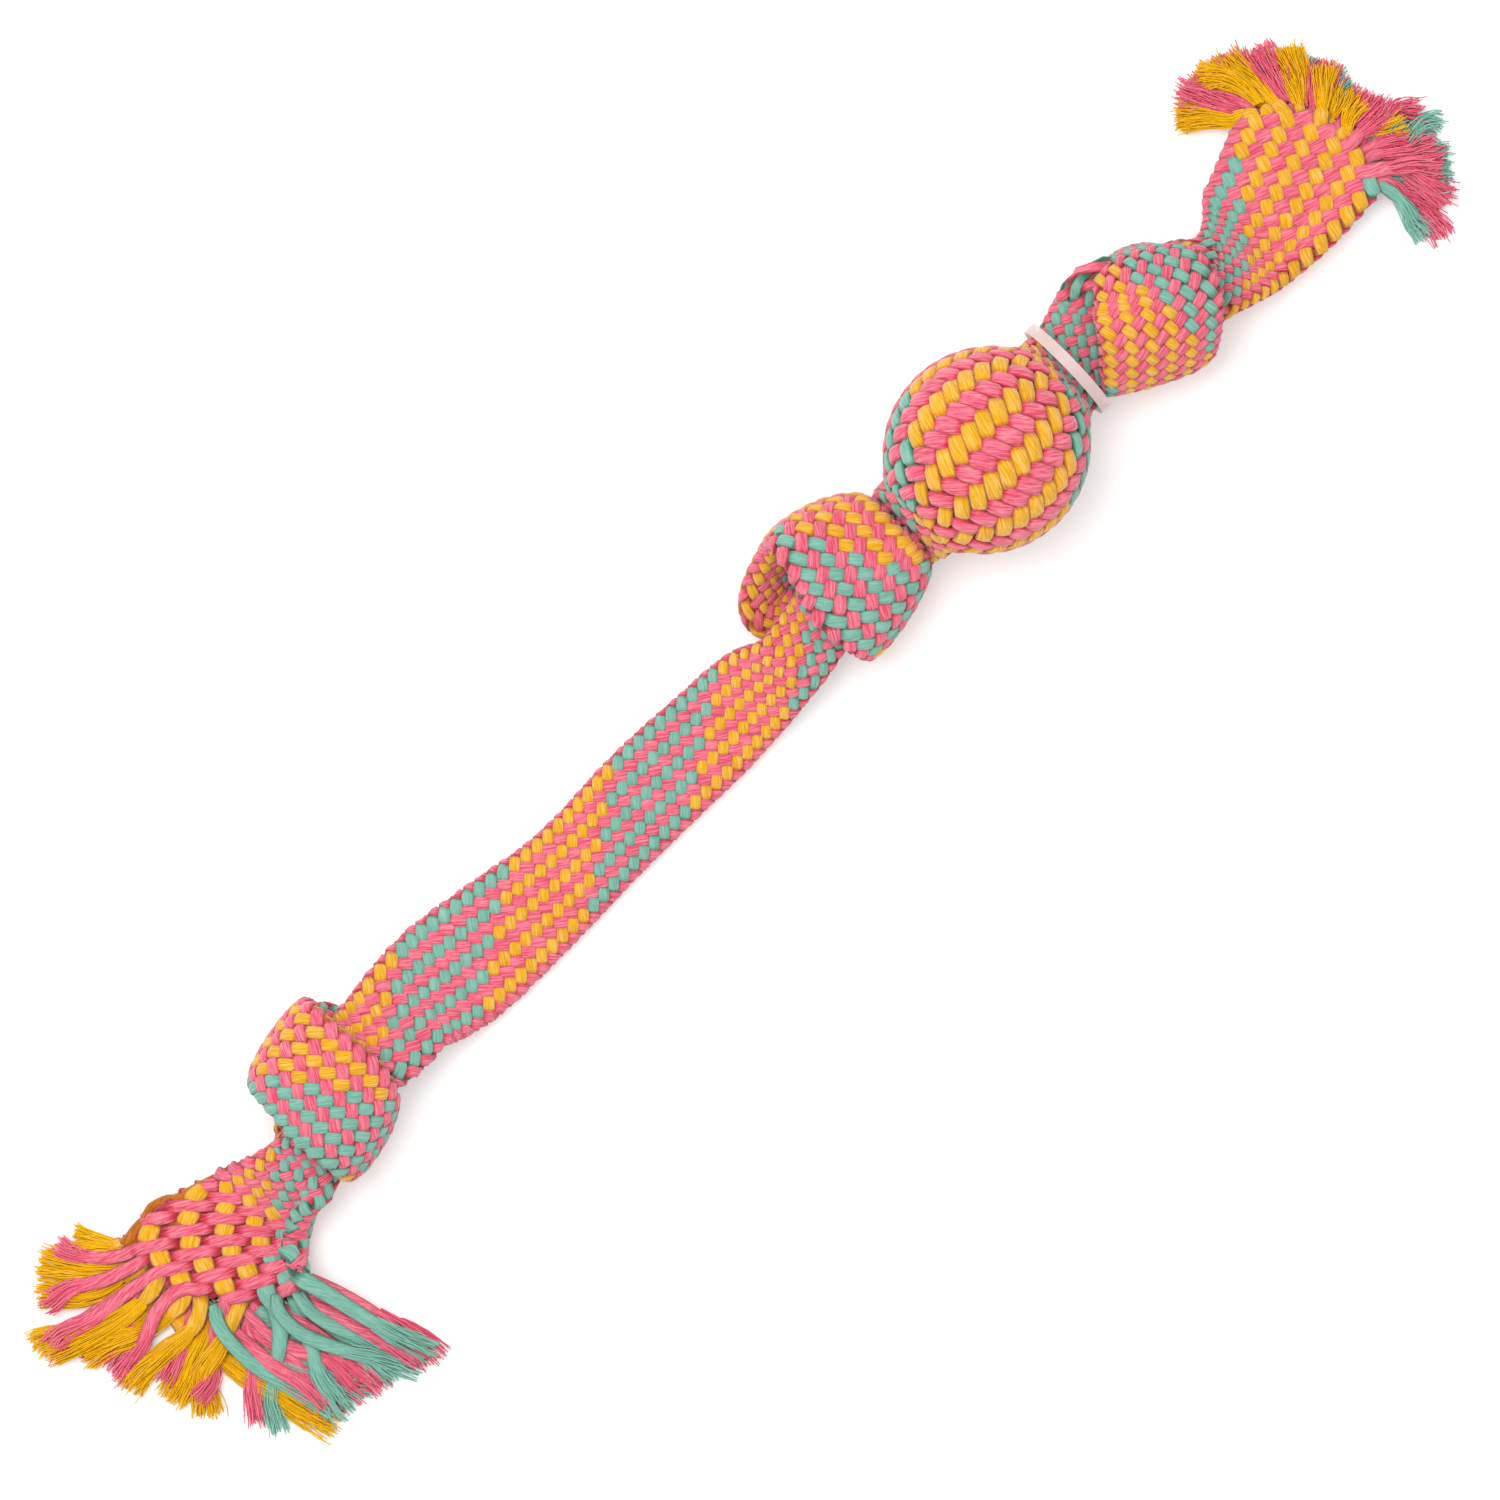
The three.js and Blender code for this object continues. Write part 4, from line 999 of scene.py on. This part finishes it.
@functools.lru_cache(maxsize=1)
def fibre_tree():
    """Frays each path into fine fibres that spread and wave towards their tips."""
    inputs = (
        ("Paths", "NodeSocketGeometry", None),
        ("Fibres", "NodeSocketInt", 36),
        ("Fibre Radius", "NodeSocketFloat", 0.3 * MM),
        ("Wave", "NodeSocketFloat", 1.6 * MM),
        ("Start", "NodeSocketFloat", 0.55),
        ("Shortest", "NodeSocketFloat", 0.86),
        ("Material", "NodeSocketMaterial", None),
    )
    tree, given, result = new_tree("frayed_fibres", inputs, "Fibres")
    curve = add_node(tree, "GeometryNodeMeshToCurve", {"Mesh": given["Paths"]}).outputs["Curve"]
    copies = {"Geometry": curve, "Amount": given["Fibres"]}
    fibres = add_node(tree, "GeometryNodeDuplicateElements", copies, domain="SPLINE").outputs["Geometry"]
    angle = per_path(tree, 2 * math.pi, SEED)
    radius = scalar_math(tree, "SQRT", per_path(tree, 1.0, SEED + 1))
    factor = add_node(tree, "GeometryNodeSplineParameter").outputs["Factor"]
    flared = scalar_math(tree, "ADD", scalar_math(tree, "POWER", factor, 2.0), FIBRE_CORE)
    open_out = scalar_math(tree, "MULTIPLY", radius, flared)
    sideways = scalar_math(tree, "MULTIPLY", open_out, scalar_math(tree, "COSINE", angle))
    upward = scalar_math(tree, "MULTIPLY", open_out, scalar_math(tree, "SINE", angle))
    shift_sideways = vector_math(tree, "SCALE", path_vector(tree, "across"), sideways)
    shift_upward = vector_math(tree, "SCALE", path_vector(tree, "above"), upward)
    shift = vector_math(tree, "ADD", shift_sideways, shift_upward)
    own = scalar_math(tree, "MULTIPLY", per_path(tree, 1.0, SEED + 2), WAVE_APART)
    noise = add_node(tree, "ShaderNodeTexNoise", {**WAVE_NOISE, "W": own}, noise_dimensions="4D")
    swing = vector_math(tree, "SUBTRACT", noise.outputs["Color"], (0.5, 0.5, 0.5))
    growth = scalar_math(tree, "MULTIPLY", factor, WAVE_GROWTH)
    wave = vector_math(tree, "SCALE", swing, scalar_math(tree, "MULTIPLY", given["Wave"], growth))
    fibres = move(tree, fibres, Offset=vector_math(tree, "ADD", shift, wave))
    lowest = {"X": -FAR_AWAY, "Y": -FAR_AWAY, "Z": given["Fibre Radius"]}
    floor = add_node(tree, "ShaderNodeCombineXYZ", lowest).outputs["Vector"]
    fibres = move(tree, fibres, Position=vector_math(tree, "MAXIMUM", position(tree), floor))
    rest = scalar_math(tree, "SUBTRACT", 1.0, given["Shortest"])
    share = scalar_math(tree, "MULTIPLY", rest, per_path(tree, 1.0, SEED + 3))
    length = scalar_math(tree, "ADD", given["Shortest"], share)
    trim = {"Curve": fibres, "Start": given["Start"], "End": length}
    fibres = add_node(tree, "GeometryNodeTrimCurve", trim, mode="FACTOR").outputs["Curve"]
    fibres = store(tree, fibres, "shade", per_path(tree, 1.0, SEED + 4), "FLOAT")
    fibres = skin(tree, fibres, circle(tree, given["Fibre Radius"], FIBRE_SIDES))
    finish_tree(tree, fibres, given["Material"], result[0])
    return tree


# Pieces

# What a line of a strand holds at each of its points
LINE_PARTS = ("point", "across", "above", "run", "rise")


def new_object(name, data):
    obj = bpy.data.objects.new(name, data)
    bpy.context.collection.objects.link(obj)
    return obj


def path_object(name, lines):
    """Mesh of bare paths. Each line has its points and half-size vectors in millimetres."""
    counts = [len(line["point"]) for line in lines]
    starts = np.concatenate(([0], np.cumsum(counts)))
    edges = [(k, k + 1) for first, count in zip(starts, counts) for k in range(first, first + count - 1)]
    parts = {part: np.concatenate([line[part] for line in lines]) for part in LINE_PARTS}
    points = parts.pop("point") * MM
    vectors = {"across": parts.pop("across") * MM, "above": parts.pop("above") * MM, "middle": points}
    parts["shade"] = np.repeat([line["shade"] for line in lines], counts)
    mesh = bpy.data.meshes.new(name)
    mesh.from_pydata(points.tolist(), edges, [])
    for values, kind, field in ((vectors, "FLOAT_VECTOR", "vector"), (parts, "FLOAT", "value")):
        for label, value in values.items():
            data = mesh.attributes.new(label, kind, "POINT").data
            data.foreach_set(field, value.astype(np.float32).ravel())
    return new_object(name, mesh)


def grow(obj, tree, values):
    """Runs a node tree on an object and keeps its result as a plain mesh."""
    modifier = obj.modifiers.new(tree.name, "NODES")
    modifier.node_group = tree
    for item in tree.interface.items_tree:
        if item.in_out == "INPUT" and item.name in values:
            modifier[item.identifier] = values[item.name]
    graph = bpy.context.evaluated_depsgraph_get()
    grown = obj.evaluated_get(graph)
    mesh = bpy.data.meshes.new_from_object(grown, preserve_all_data_layers=True, depsgraph=graph)
    obj.modifiers.clear()
    bare = obj.data
    obj.data = mesh
    bpy.data.meshes.remove(bare)
    mesh.name = obj.name
    for label in ("across", "above", "middle"):
        if label in mesh.attributes:
            mesh.attributes.remove(mesh.attributes[label])
    if not mesh.polygons:
        raise RuntimeError(f"{obj.name} came out empty")


# Golden section of a whole
GOLDEN_STEP = 0.381966


def strand_shade(number):
    """Share between 0 and 1 that differs from strand to strand."""
    return number * GOLDEN_STEP % 1


def with_loose_end(line, loose, plied, end):
    """Line of a strand with the plied, tapered part of its loose end joined on at the lower or upper end."""
    count = int(plied * LOOSE_STEPS)
    taper = np.interp(np.linspace(0, 1, count), *TAPER)[:, None]
    part = {key: loose[key][:count] for key in LINE_PARTS}
    part.update({key: part[key] * taper for key in ("across", "above")})
    if end == "lower":
        part = {key: values[:0:-1] for key, values in part.items()}
        part.update({"across": -part["across"], "run": line["run"][0] - part["run"]})
        return {key: np.concatenate((part[key], line[key])) for key in LINE_PARTS}
    part = {key: values[1:] for key, values in part.items()}
    part["run"] = line["run"][-1] + part["run"]
    return {key: np.concatenate((line[key], part[key])) for key in LINE_PARTS}


def strand_lines(braid, colour, low, high):
    """Paths of one colour's strands between two stations, with the plied part of their loose ends."""
    lines = []
    for number, strand in enumerate(braid.strands):
        if strand["colour"] != colour:
            continue
        cut = slice(max(low, strand["first"]), min(high, strand["last"]) + 1)
        line = {key: strand[key][cut] for key in LINE_PARTS}
        for end, leaves in (("lower", low < strand["first"]), ("upper", high > strand["last"])):
            if leaves:
                line = with_loose_end(line, strand[end], LOOSE[end][colour].plied, end)
        lines.append({**line, "shade": strand_shade(number)})
    return lines


def add_fibres(context, end, body, count):
    """Frays the loose ends of one end of the rope, one piece for each colour."""
    braid = braid_of(context, count)
    sizes = context.scene.rope_toy
    for colour in COLOURS:
        lines = []
        for number, strand in enumerate(braid.strands):
            if strand["colour"] == colour:
                lines.append({**strand[end], "shade": strand_shade(number)})
        piece = path_object(f"fray_{end}_{colour}", lines)
        loose = LOOSE[end][colour]
        values = {
            "Fibres": int(sizes.fibres * loose.fibres),
            "Fibre Radius": sizes.fibre_radius * MM,
            "Wave": loose.wave * MM,
            "Start": FRAY_START * loose.plied,
            "Material": yarn(context, colour, fibrous=True),
        }
        grow(piece, fibre_tree(), values)
        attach(piece, body)


def add_braid(context, name, low, high, place, nodes, count=STRANDS):
    """Adds the strands between two stations, one piece for each colour. place rides a piece on a body or
    bakes it where it lies.
    """
    braid = braid_of(context, count)
    sides = context.scene.rope_toy.sides
    for colour in COLOURS:
        piece = path_object(f"{name}_{colour}", strand_lines(braid, colour, low, high))
        grow(piece, strand_tree(), {"Sides": sides, "Material": yarn(context, colour)})
        place(piece)
        if colour == COLOURS[0]:
            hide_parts(*nodes)


def rider(body):
    return lambda piece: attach(piece, body)


def bender(braid, first, second, low, high):
    """Placement that bakes a piece's transform into its mesh; the piece is not bent, and braid, first,
    second, low and high are not used.
    """
    return lambda piece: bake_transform(piece)


# Materials

# Cotton's surface, turn of the yarn's plies in radians for each millimetre, length and size of its streaks,
# and how far apart the streaks of two strands lie
COTTON = {"Roughness": 0.85, "Specular IOR Level": 0.25, "Sheen Roughness": 0.5}
PLY_TURN = 0.1
STREAK_STRETCH = 0.035
STREAK_NOISE = {"Scale": 4.2, "Detail": 2.0, "Roughness": 0.7}
STREAK_APART = 60.0
# Rise of a strand, and height on its section, over which its painted shade goes from full to none: full where
# it dives under and low on its sides, none on top
PAINTED_SHADE_RISE = (-0.1, 0.75)
PAINTED_SHADE_HEIGHT = (0.1, 0.8)
# Streaks: limits of the noise between which they go from dark to bright, and from rich to pale, and the
# brightness or saturation at those limits; the dark lows, in the grooves of the bump, are painted shade
# between fibres, and the pale peaks a painted highlight
DARK_STREAK = ((0.34, 0.58), (0.76, 1))
RICH_STREAK = ((0.38, 0.66), (1.12, 0.88))
# Brightness of the darkest and the brightest strand
STRAND_VALUE = (0.93, 1)
# Brightness and saturation of the first and the last fibre by shade, and gamma that makes them pale
FIBRE_VALUE = (0.95, 1)
FIBRE_SATURATION = (1.15, 1.0)
PALE_GAMMA = 0.8
# Gamma and brightness of the painted shade where a strand dives under, and on top of it, where there is none
PAINTED_SHADE_GAMMA = (1.9, 1)
PAINTED_SHADE_VALUE = (0.66, 1)
WHOLE = (0, 1)


def linear(colour):
    """Opaque colour as the shader takes it, from one as a screen shows it."""
    return (*(c / 12.92 if c <= 0.04045 else ((c + 0.055) / 1.055) ** 2.4 for c in colour), 1)


def new_material(name, looks):
    """Material with the constants of its surface set."""
    material = bpy.data.materials.new(name)
    material.use_nodes = True
    surface = material.node_tree.nodes["Principled BSDF"]
    wire(material.node_tree, surface, looks)
    return material, material.node_tree, surface


def attribute(tree, name, output="Fac"):
    return add_node(tree, "ShaderNodeAttribute", attribute_name=name).outputs[output]


@functools.lru_cache(maxsize=None)
def frayed_cotton(name, colour):
    """Loose cotton fibres: pale, a little different from fibre to fibre, with a sheen of their own dye."""
    dye = linear(colour)
    material, tree, surface = new_material(name, {**COTTON, "Sheen Weight": 0.5, "Sheen Tint": dye})
    shade = attribute(tree, "shade")
    value = map_range(tree, shade, WHOLE, FIBRE_VALUE)
    saturation = map_range(tree, shade, WHOLE, FIBRE_SATURATION)
    tint = {"Color": dye, "Value": value, "Saturation": saturation}
    tint = add_node(tree, "ShaderNodeHueSaturation", tint).outputs["Color"]
    pale = add_node(tree, "ShaderNodeGamma", {"Color": tint, "Gamma": PALE_GAMMA}).outputs["Color"]
    wire(tree, surface, {"Base Color": pale})
    return material


@functools.lru_cache(maxsize=None)
def plied_cotton(name, colour):
    """Plied cotton yarn: streaks that wind along the strand, with painted shade in their grooves and a
    painted highlight on their ridges, and painted shade, darker and more saturated, where it dives under.
    """
    material, tree, surface = new_material(name, {**COTTON, "Sheen Weight": 0.4})
    shade, run, rise = (attribute(tree, label) for label in ("shade", "run", "rise"))
    ring = attribute(tree, "ring", "Vector")
    turn = {"Vector": ring, "Angle": scalar_math(tree, "MULTIPLY", run, PLY_TURN)}
    turn = add_node(tree, "ShaderNodeVectorRotate", turn, rotation_type="Z_AXIS").outputs["Vector"]
    split = split_vector(tree, turn)
    apart = scalar_math(tree, "MULTIPLY", shade, STREAK_APART)
    along = scalar_math(tree, "MULTIPLY_ADD", run, STREAK_STRETCH, apart)
    place = add_node(tree, "ShaderNodeCombineXYZ", {"X": split["X"], "Y": split["Y"], "Z": along})
    streak = {"Vector": place.outputs["Vector"], **STREAK_NOISE}
    streak = add_node(tree, "ShaderNodeTexNoise", streak).outputs["Fac"]
    # Painted shade in the grooves between fibres and a painted highlight on the ridges, both drawn from the
    # streaks that also make the bump
    bright = map_range(tree, streak, *DARK_STREAK)
    value = scalar_math(tree, "MULTIPLY", bright, map_range(tree, shade, WHOLE, STRAND_VALUE))
    saturation = map_range(tree, streak, *RICH_STREAK)
    tint = {"Color": linear(colour), "Value": value, "Saturation": saturation}
    tint = add_node(tree, "ShaderNodeHueSaturation", tint).outputs["Color"]
    # Painted shade: the dye is made darker and more saturated where the strand dives under the one it crosses
    # and low on its sides, where shade falls
    end = map_range(tree, rise, PAINTED_SHADE_RISE, WHOLE)
    side = map_range(tree, split_vector(tree, ring)["Y"], PAINTED_SHADE_HEIGHT, WHOLE)
    free_of_painted_shade = scalar_math(tree, "MULTIPLY", end, side)
    painted_deep_shade = {"Color": tint, "Gamma": map_range(tree, free_of_painted_shade, WHOLE, PAINTED_SHADE_GAMMA)}
    painted_deep_shade = add_node(tree, "ShaderNodeGamma", painted_deep_shade).outputs["Color"]
    painted_dim_shade = {"Color": painted_deep_shade, "Value": map_range(tree, free_of_painted_shade, WHOLE, PAINTED_SHADE_VALUE)}
    painted_dim_shade = add_node(tree, "ShaderNodeHueSaturation", painted_dim_shade).outputs["Color"]
    bump = {"Strength": 0.9, "Distance": 0.6 * MM, "Height": streak}
    bump = add_node(tree, "ShaderNodeBump", bump).outputs["Normal"]
    wire(tree, surface, {"Base Color": painted_dim_shade, "Normal": bump})
    return material


def yarn(context, colour, fibrous=False):
    dye = tuple(getattr(context.scene.rope_toy, colour))
    if fibrous:
        return frayed_cotton(f"frayed_cotton_{colour}", dye)
    return plied_cotton(f"plied_cotton_{colour}", dye)


# Settings, operators and panel


class RopeToySettings(bpy.types.PropertyGroup):
    fill: bpy.props.FloatProperty(
        name="Strand fill",
        description="Width of a strand as a share of its spacing",
        default=1.28,
        min=0.5,
        max=1.5,
    )
    half_thick: bpy.props.FloatProperty(
        name="Half thickness",
        description="Half the thickness of a strand, in millimetres",
        default=1.35,
        min=0.4,
    )
    proud: bpy.props.FloatProperty(
        name="Proud", description="Millimetres by which the strands stand out of the solid", default=0.35
    )
    sides: bpy.props.IntProperty(name="Sides", description="Facets round a strand", default=8, min=4, max=16)
    fibres: bpy.props.IntProperty(
        name="Fibres", description="Fibres in each frayed strand", default=75, min=4
    )
    fibre_radius: bpy.props.FloatProperty(
        name="Fibre radius", description="Radius of a frayed fibre, in millimetres", default=0.23, min=0.05
    )
    pink: bpy.props.FloatVectorProperty(
        name="Pink",
        description="Dye of the strands that run one way",
        subtype="COLOR_GAMMA",
        default=(1.0, 0.47, 0.56),
    )
    yellow: bpy.props.FloatVectorProperty(
        name="Yellow",
        description="Dye of half the strands that run back",
        subtype="COLOR_GAMMA",
        default=(1.0, 0.74, 0.19),
    )
    teal: bpy.props.FloatVectorProperty(
        name="Teal", description="Dye of the other half", subtype="COLOR_GAMMA", default=(0.53, 0.77, 0.69)
    )
    key_watts: bpy.props.FloatProperty(
        name="Key light", description="Power of the soft key light", default=11.0, unit="POWER"
    )


class ROPETOY_OT_flat_braid(bpy.types.Operator):
    """Braids the flat stretch in four pieces, from the middle of each of its five bodies to the next"""

    bl_idname = "rope_toy.flat_braid"
    bl_label = "Flat Braid"

    def execute(self, context):
        braid = braid_of(context)
        cuts = [braid.flat_station(x) for x in FLAT_MIDDLES]
        for k, (low, high) in enumerate(zip(cuts, cuts[1:]), 1):
            bodies = (f"flat_{k}", f"flat_{k + 1}")
            place = bender(braid, *bodies, low + STILL, high - STILL)
            add_braid(context, f"braid_flat_{k}_{k + 1}", low, high, place, bodies)
        return {"FINISHED"}


class ROPETOY_OT_knots(bpy.types.Operator):
    """Braids the three knots, each riding on its knot, and the stretches through their mouths"""

    bl_idname = "rope_toy.knots"
    bl_label = "Knots"

    def execute(self, context):
        braid = braid_of(context)
        ball = braid.inside("ball", NECK_CUT)
        outer = {
            "knot_1": (
                ("lower_tail", braid.halfway("lower_tail")),
                ("flat_1", braid.flat_station(FLAT_MIDDLES[0])),
            ),
            "knot_2": (("flat_5", braid.flat_station(FLAT_MIDDLES[-1])), ("ball", ball[0])),
            "knot_3": (("ball", ball[1]), ("upper_tail", braid.halfway("upper_tail"))),
        }
        for knot, ((before, start), (after, end)) in outer.items():
            count = UPPER_STRANDS if knot == "knot_3" else STRANDS
            low, high = braid.inside(knot, MOUTH_CUT)
            add_braid(context, f"braid_{knot}", low, high, rider(knot), (knot,), count)
            place = bender(braid, before, knot, start + STILL, low - STILL)
            add_braid(context, f"braid_{before}_{knot}", start, low, place, (), count)
            place = bender(braid, knot, after, high + STILL, end - STILL)
            add_braid(context, f"braid_{knot}_{after}", high, end, place, (), count)
        return {"FINISHED"}


class ROPETOY_OT_ball(bpy.types.Operator):
    """Braids the sleeve over the ball"""

    bl_idname = "rope_toy.ball"
    bl_label = "Ball"

    def execute(self, context):
        cut = braid_of(context).inside("ball", NECK_CUT)
        add_braid(context, "braid_ball", *cut, rider("ball"), ("ball_sleeve",), UPPER_STRANDS)
        return {"FINISHED"}


class ROPETOY_OT_band(bpy.types.Operator):
    """Stretches the clear band round the neck between the ball and the third knot"""

    bl_idname = "rope_toy.band"
    bl_label = "Clear Band"

    def execute(self, context):
        low, high = (np.array(corner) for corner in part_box("neck_band"))
        middle, half = (low + high) / 2, (high - low) / 2
        count = BAND_SIDES
        angle = np.linspace(0, 2 * np.pi, count, endpoint=False)
        inside = BAND_THICKNESS * MM
        vertices = []
        for inset, x in ((inside, low[0]), (0, low[0]), (0, high[0]), (inside, high[0])):
            sideways = middle[1] + np.cos(angle) * (half[1] - inset)
            upward = middle[2] + np.sin(angle) * (half[2] - inset)
            vertices.append(np.column_stack((np.full(count, x), sideways, upward)))
        faces = []
        for k in range(4):
            ring, following = k * count, (k + 1) % 4 * count
            for i in range(count):
                j = (i + 1) % count
                faces.append((ring + j, following + j, following + i, ring + i))
        mesh = bpy.data.meshes.new("neck_strip")
        mesh.from_pydata(np.concatenate(vertices).tolist(), [], faces)
        looks = {"Base Color": linear((0.98, 0.9, 0.89)), "Roughness": 0.35, "Alpha": 0.55}
        mesh.materials.append(new_material("clear_plastic", looks)[0])
        band = new_object("neck_strip", mesh)
        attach(band, "knot_3")
        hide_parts("neck_band")
        return {"FINISHED"}


class ROPETOY_OT_ends(bpy.types.Operator):
    """Braids the tails and flares and frays the loose ends"""

    bl_idname = "rope_toy.ends"
    bl_label = "Frayed Ends"

    def execute(self, context):
        braid = braid_of(context)
        lower_nodes, upper_nodes = (
            [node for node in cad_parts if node.startswith(end)] for end in ("lower_", "upper_")
        )
        low = braid.halfway("lower_tail")
        hinge = braid.station(braid.span["lower_flare"][1])
        place = bender(braid, "lower_fringe", "lower_tail", hinge - HINGE_REACH, low - STILL)
        add_braid(context, "braid_lower_end", 0, low, place, lower_nodes)
        add_fibres(context, "lower", "lower_fringe", STRANDS)
        high, last = braid.halfway("upper_tail"), len(braid.place) - 1
        hinge = braid.station(braid.span["upper_flare"][0])
        place = bender(braid, "upper_tail", "upper_fringe", high + STILL, hinge + HINGE_REACH)
        add_braid(context, "braid_upper_end", high, last, place, upper_nodes, UPPER_STRANDS)
        add_fibres(context, "upper", "upper_fringe", UPPER_STRANDS)
        return {"FINISHED"}


class ROPETOY_OT_stage(bpy.types.Operator):
    """Lays the pale floor and sets the soft light and the camera, which looks straight down"""

    bl_idname = "rope_toy.stage"
    bl_label = "Stage"

    def execute(self, context):
        scene = context.scene
        scene.view_settings.view_transform = "Standard"
        add_floor()
        add_light(scene)
        add_camera(scene)
        return {"FINISHED"}


def camera_ray(tree):
    return add_node(tree, "ShaderNodeLightPath").outputs["Is Camera Ray"]


def add_floor():
    half = FLOOR_HALF
    mesh = bpy.data.meshes.new("floor")
    corners = [(-half, -half, 0), (half, -half, 0), (half, half, 0), (-half, half, 0)]
    mesh.from_pydata(corners, [], [(0, 1, 2, 3)])
    looks = {"Base Color": (FLOOR_WHITE, FLOOR_WHITE, FLOOR_WHITE, 1), "Roughness": 1.0}
    looks.update({"Specular IOR Level": 0.0, "Emission Color": (1, 1, 1, 1)})
    material, tree, surface = new_material("pale_floor", looks)
    glow = scalar_math(tree, "MULTIPLY", camera_ray(tree), FLOOR_GLOW)
    wire(tree, surface, {"Emission Strength": glow})
    mesh.materials.append(material)
    new_object("floor", mesh)


def add_light(scene):
    """White surroundings, dimmer as light than as backdrop, and a soft key light aimed at the toy."""
    scene.world = bpy.data.worlds.new("studio")
    scene.world.use_nodes = True
    tree = scene.world.node_tree
    level = map_range(tree, camera_ray(tree), WHOLE, WORLD_LEVELS)
    wire(tree, tree.nodes["Background"], {"Color": (1, 1, 1, 1), "Strength": level})
    lamp = bpy.data.lights.new("key", "AREA")
    lamp.shape = "DISK"
    lamp.size = KEY_SIZE
    lamp.energy = scene.rope_toy.key_watts
    key = new_object("key", lamp)
    aim = Vector((VIEW_MIDDLE[0] * MM, VIEW_MIDDLE[1] * MM, 0.0))
    key.location = aim + Vector(KEY_PLACE)
    key.rotation_euler = (aim - key.location).to_track_quat("-Z", "Y").to_euler()


def add_camera(scene):
    data = bpy.data.cameras.new("camera")
    data.sensor_width = SENSOR
    data.lens = LENS
    camera = new_object("camera", data)
    distance = VIEW_WIDTH * LENS / SENSOR
    camera.location = (VIEW_MIDDLE[0] * MM, VIEW_MIDDLE[1] * MM, (VIEW_LEVEL + distance) * MM)
    camera.rotation_euler = (0, 0, math.radians(VIEW_TURN))
    scene.camera = camera


class ROPETOY_PT_panel(bpy.types.Panel):
    bl_label = "Rope Dog Toy"
    bl_idname = "ROPETOY_PT_panel"
    bl_space_type = "VIEW_3D"
    bl_region_type = "UI"
    bl_category = "Rope Toy"

    def draw(self, context):
        for label in RopeToySettings.__annotations__:
            self.layout.prop(context.scene.rope_toy, label)
        for operator in OPERATORS:
            self.layout.operator(operator.bl_idname)


OPERATORS = (
    ROPETOY_OT_flat_braid,
    ROPETOY_OT_knots,
    ROPETOY_OT_ball,
    ROPETOY_OT_band,
    ROPETOY_OT_ends,
    ROPETOY_OT_stage,
)
CLASSES = (RopeToySettings, *OPERATORS, ROPETOY_PT_panel)


def register():
    for cls in CLASSES:
        bpy.utils.register_class(cls)
    bpy.types.Scene.rope_toy = bpy.props.PointerProperty(type=RopeToySettings)


def unregister():
    del bpy.types.Scene.rope_toy
    for cls in reversed(CLASSES):
        bpy.utils.unregister_class(cls)


def main():
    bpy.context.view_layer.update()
    register()
    bpy.ops.rope_toy.flat_braid()
    bpy.ops.rope_toy.knots()
    bpy.ops.rope_toy.ball()
    bpy.ops.rope_toy.band()
    bpy.ops.rope_toy.ends()
    bpy.ops.rope_toy.stage()


if __name__ == "__main__":
    main()
